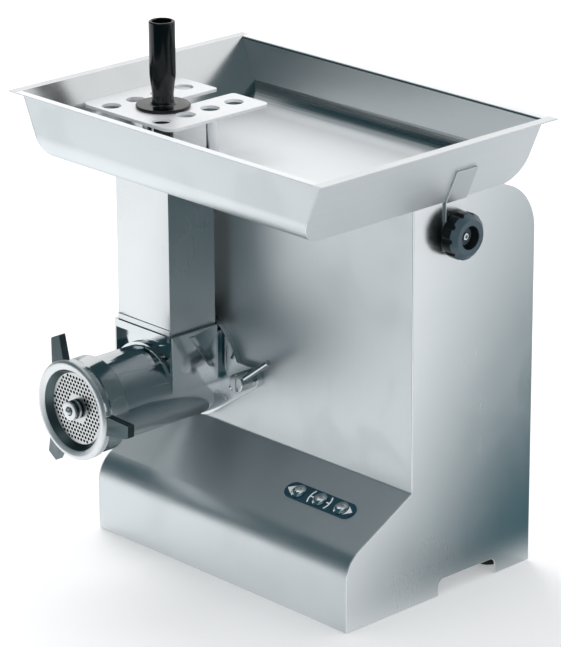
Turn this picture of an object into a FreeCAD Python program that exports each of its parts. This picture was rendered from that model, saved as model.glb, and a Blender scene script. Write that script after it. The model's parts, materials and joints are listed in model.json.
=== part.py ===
import FreeCAD, Part
import math
import os
import re
import Sketcher
from FreeCAD import Placement, Rotation, Vector

# Bench meat grinder: a sheet-steel stand that holds a geared motor, a cast grinding head on its front
# and a loose feed tray on its top. Millimetres, +Z up, the floor at z = 0, the operator at -Y.

doc = FreeCAD.newDocument("MeatGrinder")
sheet = doc.addObject("Spreadsheet::Sheet", "Sizes")

driving = {
    # Stand
    "baseWidth": 460,
    "baseDepth": 324,
    "columnSetback": 112,
    "columnHeight": 515,
    "apronHeight": 91,
    "apronBend": 40,
    "consoleTop": 152,
    "consoleBend": 3,
    "sheetThick": 2,
    "panelLift": 1,
    "topRearBend": 70,
    "coverRecess": 4,
    "handGapFront": 160,
    "handGapLength": 102,
    "handGapRise": 21,
    "handGapBend": 9,
    "floorPlateRise": 26,
    "footRadius": 16,
    "footInset": 34,
    "flapDepth": 12,
    "coverScrewRadius": 5,
    "coverScrewHead": 2.6,
    "coverScrewShank": 2,
    "coverScrewInset": 12,
    "coverScrewEnd": 30,
    "ventLength": 90,
    "ventStart": 60,
    "ventWidth": 6,
    "ventPitch": 14,
    "glandReach": 14,
    "glandRadius": 12,
    "glandBore": 5,
    "glandStep": 3,
    "glandTail": 6,
    "glandTip": 2,
    "glandRise": 70,
    "glandInset": 70,
    # Controls on the sloped console
    "controlLength": 120,
    "controlWidth": 25,
    "controlThick": 1.5,
    "controlInset": 110,
    "controlRun": 71,
    "buttonPitch": 37.5,
    "buttonRadius": 10.2,
    "buttonProud": 1.2,
    "buttonDome": 3.6,
    "buttonTravel": 2,
    "buttonGap": 0.3,
    "stemRadius": 3,
    "stemLength": 12,
    "switchWidth": 28,
    "switchLength": 30,
    "switchDeep": 34,
    "electricsWidth": 120,
    "electricsDepth": 80,
    "electricsHeight": 55,
    "electricsInset": 100,
    "electricsGap": 8,
    # Grinding head
    "headInset": 73,
    "axisLift": 60,
    "headReach": 205,
    "barrelRadius": 55.5,
    "barrelBore": 46,
    "headRearWall": 8,
    "spigotRadius": 40,
    "neckWidth": 110.6,
    "neckDepth": 79.5,
    "neckLip": 3,
    "neckRise": 79,
    "neckWall": 7,
    "neckEdge": 4,
    "neckBand": 10,
    "neckRecess": 9,
    "neckNotch": 8,
    "neckRound": 3,
    "webInset": 5,
    "webDrop": 12,
    "saddleRadius": 59,
    "ribWide": 6,
    "ribProud": 2.4,
    "ribTopRun": 31,
    "ribTopDrop": 6,
    "ribFootRun": 64,
    "ribFootRise": 26,
    "flangeRadius": 89,
    "flangeThick": 9,
    "flangeEdge": 59.8,
    "flangeSlope": 34,
    "flangeCorner": 40,
    "flangeScrewCircle": 64,
    "clampReach": 105,
    "clampRise": 16,
    "earEnd": 17,
    "earTop": 17,
    "earRound": 14,
    "clampHeadRadius": 12.2,
    "clampHeadLong": 23,
    "clampShankRadius": 6,
    "clampSlot": 2.4,
    "clampSlotDeep": 1.6,
    "leverRadius": 3.8,
    "leverSet": 6,
    "leverLong": 68.5,
    "leverShort": 18,
    "leverTilt": 37,
    "plateRadius": 50,
    "plateThick": 12,
    "plateProud": 2,
    "plateHoleRadius": 2,
    "platePitch": 5.8,
    "keyRadius": 2.5,
    "keySeat": 6,
    "ringRadius": 62,
    "ringLong": 32,
    "lipRadius": 65,
    "lipRound": 6,
    "ringMouth": 46.5,
    "lugCount": 3,
    "lugReach": 95,
    "lugTip": 17,
    "lugRoot": 27,
    "lugThick": 10.5,
    "lugStart": 3,
    "lugSweep": 10,
    "lugTurn": 116,
    "noseRadius": 12.5,
    "noseStub": 14,
    "noseBall": 5,
    "noseGroove": 3,
    "knifeRadius": 45,
    "knifeThick": 11,
    "knifeArm": 15,
    "wormCore": 18,
    "wormPitch": 44,
    "wormFlight": 8,
    "wormGap": 0.8,
    "studRadius": 8,
    "journalRadius": 13,
    "washerThick": 3,
    "washerRadius": 24,
    "tangSide": 14,
    "tangLong": 18,
    "shankEase": 2,
    "joinLap": 1,
    # Drive inside the column
    "gearModule": 2,
    "wheelTeeth": 51,
    "pinionTeeth": 17,
    "backlash": 0.3,
    "gearGap": 3,
    "wheelThick": 20,
    "idlerThick": 16,
    "boxWall": 14,
    "boxSide": 7,
    "shaftRadius": 12.5,
    "shaftBearingRadius": 23.5,
    "idlerRadius": 8,
    "idlerBearingRadius": 16,
    "bearingThick": 11,
    "sealThick": 3,
    "sealWide": 6,
    "motorRadius": 72,
    "motorWall": 4,
    "motorTail": 30,
    "motorShield": 9,
    "motorShaftRadius": 8,
    "shaftEase": 2,
    "shieldLip": 1,
    "motorBearingRadius": 17.5,
    "statorWall": 25,
    "airGap": 0.6,
    "coreEnds": 30,
    "fanLong": 12,
    "fanGap": 3,
    "fanHubWall": 6,
    "fanSheet": 2,
    "boltRadius": 4,
    "boltHeadThick": 5,
    "mountSheet": 4,
    "mountInset": 20,
    # Feed tray
    "trayOverhang": 50,
    "trayDepth": 396,
    "trayHeight": 85,
    "trayLead": 89,
    "trayBend": 33,
    "traySheet": 1.5,
    "rimWidth": 12,
    "rimBend": 2,
    "chuteWidth": 99,
    "chuteDepth": 76.5,
    "chuteWall": 2,
    "chuteGap": 15,
    "chuteSpigot": 20,
    "chuteHem": 8,
    "hemProud": 1,
    "guardWidth": 169,
    "guardShift": 2,
    "guardDepth": 168,
    "guardLead": 23.5,
    "guardSlot": 28,
    "guardThick": 4,
    "guardLift": 59,
    "guardRound": 14,
    "guardHole": 12.2,
    "guardRows": 94,
    "guardPitch": 40.4,
    "guardMargin": 19,
    "legRadius": 8,
    "legWall": 1.5,
    "legSpread": 120,
    "legBack": 28,
    "bracketWidth": 36,
    "bracketThick": 3,
    "bracketRise": 42,
    "bracketTail": 20,
    "knobSetback": 181,
    "knobDrop": 43,
    "knobRadius": 29.5,
    "knobFace": 22,
    "knobDeep": 24,
    "knobDish": 15,
    "knobDishDeep": 11,
    "knobHub": 11,
    "knobLobes": 10,
    "knobScallop": 4.5,
    "studBolt": 5,
    "studBoltHole": 2,
    "studProud": 4,
    "studHoleDeep": 3,
    "studTail": 2,
    "nutAcross": 17,
    "nutThick": 8,
    # Pestle
    "handleRadius": 16.5,
    "handleWaist": 13.5,
    "handleHigh": 111,
    "handleHollow": 12.5,
    "handleHollowDeep": 14,
    "collarRadius": 34.5,
    "collarThick": 4,
    "collarFillet": 5,
    "rodRadius": 12.5,
    "rodLong": 236,
    # Clearances
    "cutThrough": 1,
    "seatGap": 0.3,
    "runGap": 0.05,
    "pressGap": 0.02,
}

for row, (name, amount) in enumerate(driving.items(), start=1):
    sheet.set(f"A{row}", name)
    sheet.set(f"B{row}", str(amount))
    sheet.setAlias(f"B{row}", name)
doc.recompute()

# Heights, widths and lengths that follow from the sizes above
following = {
    "axisHeight": "(consoleTop + axisLift)",
    "neckTop": "(consoleTop + axisLift + neckRise)",
    "knobHeight": "(columnHeight - knobDrop)",
    "trayWidth": "(baseWidth + 2 * trayOverhang)",
    "flangeFoot": "(axisLift - consoleBend - seatGap)",
    "driveRoom": "(baseDepth - columnSetback - coverRecess - 2 * sheetThick)",
    "boxDeep": "(2 * boxWall + wheelThick + idlerThick + 3 * gearGap)",
    "motorLong": "(driveRoom - boxDeep - motorShield - motorTail)",
    "coreLong": "(motorLong - coreEnds)",
}

# Places that several pieces share, worked out from the sizes above
halfBase = "(baseWidth / 2)"
insideX = "(baseWidth / 2 - sheetThick)"
frontY = "((headReach + noseStub + noseBall - columnSetback - baseDepth - glandReach) / 2)"
rearY = f"({frontY} + baseDepth)"
columnY = f"({frontY} + columnSetback)"
insideY = f"({columnY} + sheetThick)"
coverY = f"({rearY} - coverRecess)"
axisX = "(headInset - baseWidth / 2)"
plateY = f"({columnY} - headReach)"
headFrontY = f"({plateY} + plateProud)"
knifeY = f"({plateY} + plateThick)"
wormY = f"({knifeY} + knifeThick)"
headRearY = f"({columnY} - flangeThick)"
wormRearY = f"({headRearY} - headRearWall - washerThick)"
chuteY = f"({columnY} - chuteGap - chuteDepth / 2)"
neckFrontY = f"({chuteY} - chuteDepth / 2 - neckLip)"
neckRearY = f"({neckFrontY} + neckDepth)"
ringY = f"({plateY} - lipRound * 2)"
clampX = f"({axisX} + clampReach)"
clampZ = "(axisHeight + clampRise)"
clampY = f"({columnY} - flangeThick - clampHeadLong)"
wheelRadius = "(gearModule * wheelTeeth / 2)"
pinionRadius = "(gearModule * pinionTeeth / 2)"
gearSpan = "(gearModule * (wheelTeeth + pinionTeeth) / 2)"
idlerX = f"({axisX} + {gearSpan})"
motorX = f"({idlerX} + {gearSpan})"
finalY = f"({insideY} + boxWall + gearGap)"
idlerY = f"({finalY} + wheelThick + gearGap)"
coverGearY = f"({idlerY} + idlerThick + gearGap)"
motorY = f"({coverGearY} + boxWall)"
shieldY = f"({motorY} + motorLong)"
fanY = f"({shieldY} + motorShield + fanGap)"
floorZ = "columnHeight"
rimZ = "(columnHeight + trayHeight)"
rimFrontY = f"({frontY} - trayLead)"
rimRearY = f"({rimFrontY} + trayDepth)"
wallFrontY = f"({rimFrontY} + rimWidth)"
wallRearY = f"({rimRearY} - rimWidth)"
floorHalf = "(baseWidth / 2 + seatGap)"
rimHalf = "(trayWidth / 2 - rimWidth)"
endSlant = f"(({rimHalf} - {floorHalf}) / trayHeight)"
endSkew = f"(traySheet * sqrt(1 + {endSlant}^2))"
guardX = f"({axisX} - guardShift)"
guardFrontY = f"({chuteY} - chuteDepth / 2 - guardLead)"
guardZ = "(columnHeight + guardLift)"
legY = f"({chuteY} + legBack)"
knobY = f"({frontY} + knobSetback)"
consoleTilt = "atan((consoleTop - apronHeight) / columnSetback)"
consoleFold = f"tan(45 deg - {consoleTilt} / 2)"
controlX = "(baseWidth / 2 - controlInset)"


def named(text):
    """Point each size in an expression at its cell."""
    def swap(word):
        if word[0] in following:
            return named(following[word[0]])
        return "Sizes." + word[0] if word[0] in driving else word[0]

    return re.sub(r"[A-Za-z]\w*", swap, str(text))


def size(text):
    """Number that an expression of sizes comes to."""
    amount = sheet.evalExpression(named(text))
    return float(getattr(amount, "Value", amount))


def bind(thing, path, text):
    thing.setExpression(path, named(text))


def place(thing, x, y, z, turn=None):
    if turn:
        thing.Placement = Placement(Vector(), turn)
    for axis, text in zip("xyz", (x, y, z)):
        bind(thing, f"Placement.Base.{axis}", text)
    return thing


def onConsole(thing, x, lift="0", lean="0 deg"):
    """Stand a piece on the console, square to it; lean is the turn about X it needs to point outwards."""
    tilt = f"{lean} + {consoleTilt}"
    thing.Placement = Placement(Vector(), Rotation(Vector(1, 0, 0), size(tilt)))
    bind(thing, "Placement.Rotation.Angle", tilt)
    place(thing, x,
          f"{frontY} + controlRun * cos({consoleTilt}) - ({lift}) * sin({consoleTilt})",
          f"apronHeight + controlRun * sin({consoleTilt}) + ({lift}) * cos({consoleTilt})")
    return thing


def past(low, high):
    """Reach of a cut that runs clear of both faces."""
    return f"{low} - cutThrough", f"{high} + cutThrough"


alongTurn = {"x": Rotation(Vector(0, 1, 0), 90), "y": Rotation(Vector(1, 0, 0), -90), "z": Rotation()}
spinTurn = {"x": Rotation(Vector(0, 0, 1), -90), "y": Rotation(), "z": Rotation(Vector(1, 0, 0), 90)}
planeTurn = {"xy": Rotation(), "yz": Rotation(Vector(1, 1, 1), 120), "xz": Rotation(Vector(1, 0, 0), 90)}


def box(name, x, y, z):
    solid = doc.addObject("Part::Box", name)
    for side, reach in zip(("Length", "Width", "Height"), (x, y, z)):
        bind(solid, side, f"({reach[1]}) - ({reach[0]})")
    return place(solid, x[0], y[0], z[0])


def rod(name, radius, reach, along, centre):
    """Cylinder along an axis; centre gives the other two coordinates in X, Y, Z order."""
    solid = doc.addObject("Part::Cylinder", name)
    bind(solid, "Radius", radius)
    bind(solid, "Height", f"({reach[1]}) - ({reach[0]})")
    spot = list(centre)
    spot.insert("xyz".index(along), reach[0])
    return place(solid, *spot, alongTurn[along])


def fuse(name, *pieces):
    whole = doc.addObject("Part::MultiFuse", name)
    whole.Shapes = list(pieces)
    return whole


def cut(name, base, *tools):
    result = doc.addObject("Part::Cut", name)
    result.Base = base
    result.Tool = tools[0] if len(tools) == 1 else fuse(name + "Tools", *tools)
    return result


def common(name, *pieces):
    result = doc.addObject("Part::MultiCommon", name)
    result.Shapes = list(pieces)
    return result


def group(name, *pieces):
    """Several separate solids that make one sub-part."""
    result = doc.addObject("Part::Compound", name)
    result.Links = list(pieces)
    return result


def tube(name, radius, bore, reach, along, centre):
    return cut(name, rod(name + "Outside", radius, reach, along, centre),
               rod(name + "Bore", bore, reach, along, centre))


def roundedCorner(before, corner, after, radius):
    """Ends, centre and turning side of the arc that rounds a corner."""
    back = (before - corner).normalize()
    ahead = (after - corner).normalize()
    half = back.getAngle(ahead) / 2
    start = corner + back * (radius / math.tan(half))
    end = corner + ahead * (radius / math.tan(half))
    centre = corner + (back + ahead).normalize() * (radius / math.sin(half))
    leftTurn = back.cross(ahead).z < 0
    return start, end, centre, leftTurn


def outline(body, name, corners):
    """Closed sketch through corners (x, y) or (x, y, radius), each one bound to the sizes."""
    sketch = body.newObject("Sketcher::SketchObject", name)
    plane = [part for part in body.Origin.OriginFeatures if part.Role == "XY_Plane"][0]
    sketch.AttachmentSupport = (plane, [""])
    sketch.MapMode = "FlatFace"
    points = [Vector(size(corner[0]), size(corner[1]), 0) for corner in corners]
    count = len(points)
    starts, ends, arcs = list(points), list(points), {}
    for index, corner in enumerate(corners):
        if len(corner) == 3:
            rounding = roundedCorner(points[index - 1], points[index], points[(index + 1) % count],
                                     size(corner[2]))
            starts[index], ends[index], centre, leftTurn = rounding
            first, last = (starts[index], ends[index]) if leftTurn else (ends[index], starts[index])
            circle = Part.Circle(centre, Vector(0, 0, 1), size(corner[2]))
            angles = [math.atan2(spot.y - centre.y, spot.x - centre.x) for spot in (first, last)]
            arcs[index] = (Part.ArcOfCircle(circle, *angles), leftTurn)
    lines = [sketch.addGeometry(Part.LineSegment(ends[index], starts[(index + 1) % count]), False)
             for index in range(count)]

    def tie(text, *what):
        sketch.setExpression(f"Constraints[{sketch.addConstraint(Sketcher.Constraint(*what))}]", named(text))

    for index, corner in enumerate(corners):
        before, after = lines[index - 1], lines[index]
        if index in arcs:
            shape, leftTurn = arcs[index]
            arc = sketch.addGeometry(shape, False)
            arcIn, arcOut = (1, 2) if leftTurn else (2, 1)
            spot = sketch.addGeometry(Part.Point(points[index]), True)
            sketch.addConstraint([Sketcher.Constraint("Tangent", before, 2, arc, arcIn),
                                  Sketcher.Constraint("Tangent", arc, arcOut, after, 1),
                                  Sketcher.Constraint("PointOnObject", spot, 1, before),
                                  Sketcher.Constraint("PointOnObject", spot, 1, after)])
            tie(corner[2], "Radius", arc, size(corner[2]))
        else:
            spot = after
            sketch.addConstraint(Sketcher.Constraint("Coincident", before, 2, after, 1))
        tie(corner[0], "DistanceX", -1, 1, spot, 1, points[index].x)
        tie(corner[1], "DistanceY", -1, 1, spot, 1, points[index].y)
    return sketch


def extruded(name, corners, plane, reach):
    """Outline in a plane, padded along the third axis from reach[0] to reach[1]."""
    body = doc.addObject("PartDesign::Body", name)
    pad = body.newObject("PartDesign::Pad", name + "Pad")
    pad.Profile = outline(body, name + "Sketch", corners)
    bind(pad, "Length", f"({reach[1]}) - ({reach[0]})")
    body.Tip = pad
    start = {"xy": ("0", "0", reach[0]), "yz": (reach[0], "0", "0"), "xz": ("0", reach[1], "0")}[plane]
    return place(body, *start, planeTurn[plane])


def spoke(name, stations, turn, reach, centre):
    """Arm along Y's radial direction through (radius, half width[, round]) stations, out and back."""
    corners = []
    for station in stations:
        radius, half = station[:2]
        corner = (f"{centre[0]} + ({radius}) * cos({turn}) - ({half}) * sin({turn})",
                  f"{centre[1]} + ({radius}) * sin({turn}) + ({half}) * cos({turn})")
        corners.append(corner + tuple(station[2:]))
    return extruded(name, corners, "xz", reach)


def turned(name, profile, along, centre):
    """Profile of (radius, distance along the axis) corners, turned about the axis."""
    body = doc.addObject("PartDesign::Body", name)
    spin = body.newObject("PartDesign::Revolution", name + "Turn")
    profileSketch = outline(body, name + "Sketch", profile)
    spin.Profile = profileSketch
    spin.ReferenceAxis = (profileSketch, ["V_Axis"])
    spin.Angle = 360
    body.Tip = spin
    spot = list(centre)
    spot.insert("xyz".index(along), "0")
    return place(body, *spot, spinTurn[along])


subParts = []


def subPart(label, thing):
    thing.Label = label
    subParts.append(thing)
    return thing


def shaped(label, shape):
    """Sub-part whose form no primitive or sketch feature gives."""
    thing = doc.addObject("Part::Feature", label + "Form")
    thing.Shape = shape
    return subPart(label, thing)


headAxis = (axisX, "axisHeight")
idlerAxis = (idlerX, "axisHeight")
motorAxis = (motorX, "axisHeight")
clampAxis = (clampX, clampZ)


def sidePanel(label, reach):
    """Flat side plate: console slope in front, rounded top-rear corner, hand gap in the foot."""
    gapFront = f"{frontY} + handGapFront"
    gapRear = f"{frontY} + handGapFront + handGapLength"
    gapTop = "panelLift + handGapRise"
    corners = [(frontY, "panelLift"), (gapFront, "panelLift"), (gapFront, gapTop, "handGapBend"),
               (gapRear, gapTop, "handGapBend"), (gapRear, "panelLift"), (rearY, "panelLift"),
               (rearY, "columnHeight", "topRearBend"), (columnY, "columnHeight"),
               (columnY, "consoleTop", "consoleBend"), (frontY, "apronHeight", "apronBend")]
    return extruded(label + "Plate", corners, "yz", reach)


def stand():
    subPart("left_side_panel", sidePanel("left", (f"-{halfBase}", f"-{insideX}")))
    right = sidePanel("right", (insideX, halfBase))
    studHole = rod("studHole", "studBolt", past(insideX, halfBase), "x", (knobY, "knobHeight"))
    subPart("right_side_panel", cut("rightPanel", right, studHole))

    fold = f"sheetThick * {consoleFold}"
    corners = [(frontY, "panelLift"), (frontY, "apronHeight", "apronBend"),
               (columnY, "consoleTop", "consoleBend"), (columnY, "columnHeight"),
               (insideY, "columnHeight"), (insideY, f"consoleTop - {fold}", "consoleBend + sheetThick"),
               (f"{frontY} + sheetThick", f"apronHeight - {fold}", "apronBend - sheetThick"),
               (f"{frontY} + sheetThick", "panelLift")]
    skin = extruded("frontSkin", corners, "yz", (f"-{insideX}", insideX))
    driveHole = rod("driveHole", "spigotRadius + seatGap", past(columnY, insideY), "y", headAxis)
    buttonHoles = []
    for number in range(3):
        hole = doc.addObject("Part::Cylinder", f"buttonHole{number}")
        bind(hole, "Radius", "buttonRadius + buttonGap")
        bind(hole, "Height", "4 * sheetThick")
        buttonHoles.append(onConsole(hole, f"{controlX} + {number - 1} * buttonPitch", "-3 * sheetThick"))
    subPart("front_panel", cut("frontPanel", skin, driveHole, *buttonHoles))

    inner = f"{coverY} - sheetThick"
    corners = [(insideY, "columnHeight - sheetThick"), (insideY, "columnHeight"),
               (coverY, "columnHeight", "topRearBend - coverRecess"), (coverY, "floorPlateRise"),
               (inner, "floorPlateRise"),
               (inner, "columnHeight - sheetThick", "topRearBend - coverRecess - sheetThick")]
    back = extruded("backSkin", corners, "yz", (f"-{insideX}", insideX))
    glandX = f"{halfBase} - glandInset"
    glandHole = rod("glandHole", "glandRadius - glandStep", (f"{coverY} - 2 * sheetThick",
                                                             f"{coverY} + cutThrough"), "y",
                    (glandX, "glandRise"))
    screwSpots = [(f"{side} * ({insideX} - coverScrewInset)", height) for side in (-1, 1)
                  for height in ("floorPlateRise + coverScrewEnd", "columnHeight / 2",
                                "columnHeight - topRearBend - coverScrewEnd")]
    screwHoles = [rod(f"coverHole{number}", "coverScrewShank + seatGap",
                      (f"{coverY} - 2 * sheetThick", f"{coverY} + cutThrough"), "y", spot)
                  for number, spot in enumerate(screwSpots)]
    subPart("rear_cover", cut("rearCover", back, glandHole, *screwHoles))
    screws = [turned(f"coverScrew{number}",
                     [("0", f"{coverY} - 3 * sheetThick"), ("coverScrewShank", f"{coverY} - 3 * sheetThick"),
                      ("coverScrewShank", coverY), ("coverScrewRadius", coverY),
                      ("coverScrewRadius", f"{coverY} + coverScrewHead", "coverScrewHead * 0.8"),
                      ("0", f"{coverY} + coverScrewHead")], "y", spot)
              for number, spot in enumerate(screwSpots)]
    subPart("cover_screws", group("coverScrews", *screws))
    gland = turned("glandTurned", [("glandBore", f"{coverY} - 2 * sheetThick - glandTail"),
                                   ("glandRadius - glandStep - seatGap",
                                    f"{coverY} - 2 * sheetThick - glandTail"),
                                   ("glandRadius - glandStep - seatGap", coverY), ("glandRadius", coverY),
                                   ("glandRadius", f"{rearY} + glandReach / 2"),
                                   ("glandBore + glandTip", f"{rearY} + glandReach"),
                                   ("glandBore", f"{rearY} + glandReach")], "y", (glandX, "glandRise"))
    subPart("cable_gland", gland)

    plate = box("floorPlate", (f"-{insideX}", insideX), (f"{frontY} + sheetThick", f"{coverY} - sheetThick"),
                ("floorPlateRise", "floorPlateRise + sheetThick"))
    vents = [box(f"vent{number}", ("-ventLength / 2", "ventLength / 2"),
                 (f"{insideY} + ventStart + {number} * ventPitch",
                  f"{insideY} + ventStart + {number} * ventPitch + ventWidth"),
                 past("floorPlateRise", "floorPlateRise + sheetThick")) for number in range(6)]
    subPart("base_plate", cut("basePlate", plate, *vents))
    footX = f"({insideX} - footInset)"
    footSpots = [(f"{side} * {footX}", depth) for side in (-1, 1)
                 for depth in (f"{frontY} + footInset", f"{rearY} - coverRecess - footInset")]
    feet = [turned(f"foot{number}",
                   [("0", "0"), ("footRadius", "0", "1.5"), ("footRadius * 0.82", "floorPlateRise"),
                    ("0", "floorPlateRise")], "z", spot) for number, spot in enumerate(footSpots)]
    subPart("rubber_feet", group("rubberFeet", *feet))


def controls():
    """Stadium plate on the console with three domed push buttons and a switch behind each."""
    end = "controlWidth / 2 - 0.01"
    half = "controlLength / 2"
    wide = "controlWidth / 2"
    corners = [(f"-{half}", f"-{wide}", end), (half, f"-{wide}", end), (half, wide, end),
               (f"-{half}", wide, end)]
    plate = extruded("controlStadium", corners, "xy", ("0", "controlThick"))
    holes = [rod(f"controlHole{number}", "buttonRadius + buttonGap", past("0", "controlThick"), "z",
                 (f"{number - 1} * buttonPitch", "0")) for number in range(3)]
    subPart("control_plate", onConsole(cut("controlPlate", plate, *holes), controlX))

    for number, label in enumerate(("reverse_button", "stop_button", "start_button")):
        proud = "controlThick + buttonProud"
        cap = turned(label + "Cap",
                     [("0", "-sheetThick - stemLength"), ("stemRadius", "-sheetThick - stemLength"),
                      ("stemRadius", "-sheetThick"), ("buttonRadius", "-sheetThick"), ("buttonRadius", proud),
                      ("buttonRadius * 0.72", f"{proud} + buttonDome * 0.72", "buttonRadius * 0.8"),
                      ("0", f"{proud} + buttonDome")], "z", ("0", "0"))
        subPart(label, onConsole(cap, f"{controlX} + {number - 1} * buttonPitch", lean="90 deg"))

    blocks = []
    for number in range(3):
        middle = f"{number - 1} * buttonPitch"
        block = box(f"switchBody{number}", (f"{middle} - switchWidth / 2", f"{middle} + switchWidth / 2"),
                    ("-switchLength / 2", "switchLength / 2"), ("-sheetThick - switchDeep", "-sheetThick"))
        well = rod(f"switchWell{number}", "buttonRadius + buttonGap",
                   ("-sheetThick - buttonTravel - cutThrough", "cutThrough - sheetThick"), "z", (middle, "0"))
        slot = rod(f"switchSlot{number}", "stemRadius + buttonGap",
                   ("-sheetThick - stemLength - buttonTravel - cutThrough", "cutThrough - sheetThick"), "z",
                   (middle, "0"))
        blocks.append(cut(f"switchBlock{number}", block, well, slot))
    subPart("switch_blocks", onConsole(group("switchBlocks", *blocks), controlX))

    rise = "floorPlateRise + sheetThick"
    right = f"{insideX} - electricsInset"
    case = box("electricsCase", (f"{right} - electricsWidth", right),
               (f"{coverY} - sheetThick - electricsGap - electricsDepth",
                f"{coverY} - sheetThick - electricsGap"), (rise, f"{rise} + electricsHeight"))
    subPart("electrics_box", case)


def headCasting():
    """Barrel, square neck with a recessed front over an arched saddle, rear web and rear spigot."""
    barrel = rod("barrel", "barrelRadius", (headFrontY, headRearY), "y", headAxis)
    spigot = rod("spigot", "spigotRadius", (headRearY, columnY), "y", headAxis)
    half = "neckWidth / 2"
    front = neckFrontY
    rear = neckRearY
    left = f"({axisX} - {half})"
    right = f"({axisX} + {half})"
    neck = extruded("neckBlock", [(left, front, "neckRound / 2"), (right, front, "neckRound / 2"),
                                  (right, rear, "neckRound"), (left, rear, "neckRound")], "xy",
                    ("axisHeight", "neckTop"))
    recess = box("neckRecess", (f"{left} + neckEdge", f"{right} - neckEdge"),
                 (f"{front} - cutThrough", f"{front} + neckRecess"),
                 ("axisHeight - cutThrough", "neckTop - neckBand"))
    notch = box("neckNotch", (f"{right} - neckEdge - neckNotch", f"{right} - neckEdge"),
                (f"{front} - cutThrough", f"{front} + neckRecess / 2"), past("neckTop - neckBand", "neckTop"))
    saddle = common("saddle", rod("saddleRound", "saddleRadius",
                                  (front, f"{front} + neckRecess + cutThrough"), "y", headAxis),
                    box("saddleLimit", (left, right), (f"{front} - cutThrough", rear),
                        ("axisHeight", "neckTop")))
    ribTop = (f"{front} + ribTopRun", "neckTop - ribTopDrop")
    ribFoot = (f"{front} + ribFootRun", "axisHeight + ribFootRise")
    rib = extruded("neckRib", [ribTop, ribFoot, (f"{ribFoot[0]} + ribWide", ribFoot[1]),
                               (f"{ribTop[0]} + ribWide", ribTop[1])], "yz",
                   (f"{right} - joinLap", f"{right} + ribProud"))
    web = box("neckWeb", (f"{left} + webInset", f"{right} - webInset"),
              (f"{rear} - joinLap", f"{headRearY} - seatGap"), ("axisHeight", "neckTop - webDrop"))
    solid = fuse("headSolid", barrel, spigot, cut("neckOpen", neck, recess, notch), saddle, rib, web)
    bore = rod("barrelBoreCut", "barrelBore", (f"{headFrontY} - cutThrough", f"{headRearY} - headRearWall"),
               "y", headAxis)
    seat = rod("plateSeat", "plateRadius + seatGap", (f"{headFrontY} - cutThrough", knifeY), "y", headAxis)
    journal = rod("journalHole", "journalRadius + runGap", past(f"{headRearY} - headRearWall", columnY),
                  "y", headAxis)
    throat = box("neckThroat", (f"{left} + neckWall", f"{right} - neckWall"),
                 (f"{front} + neckWall + neckRecess / 2", f"{rear} - neckWall"),
                 ("axisHeight", "neckTop + cutThrough"))
    keyHole = rod("keyHole", "keyRadius + pressGap", (f"{headFrontY} - cutThrough", f"{knifeY} + keySeat"),
                  "y", (axisX, "axisHeight - plateRadius"))
    subPart("head_body", cut("headBody", solid, bore, seat, journal, throat, keyHole))


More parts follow.
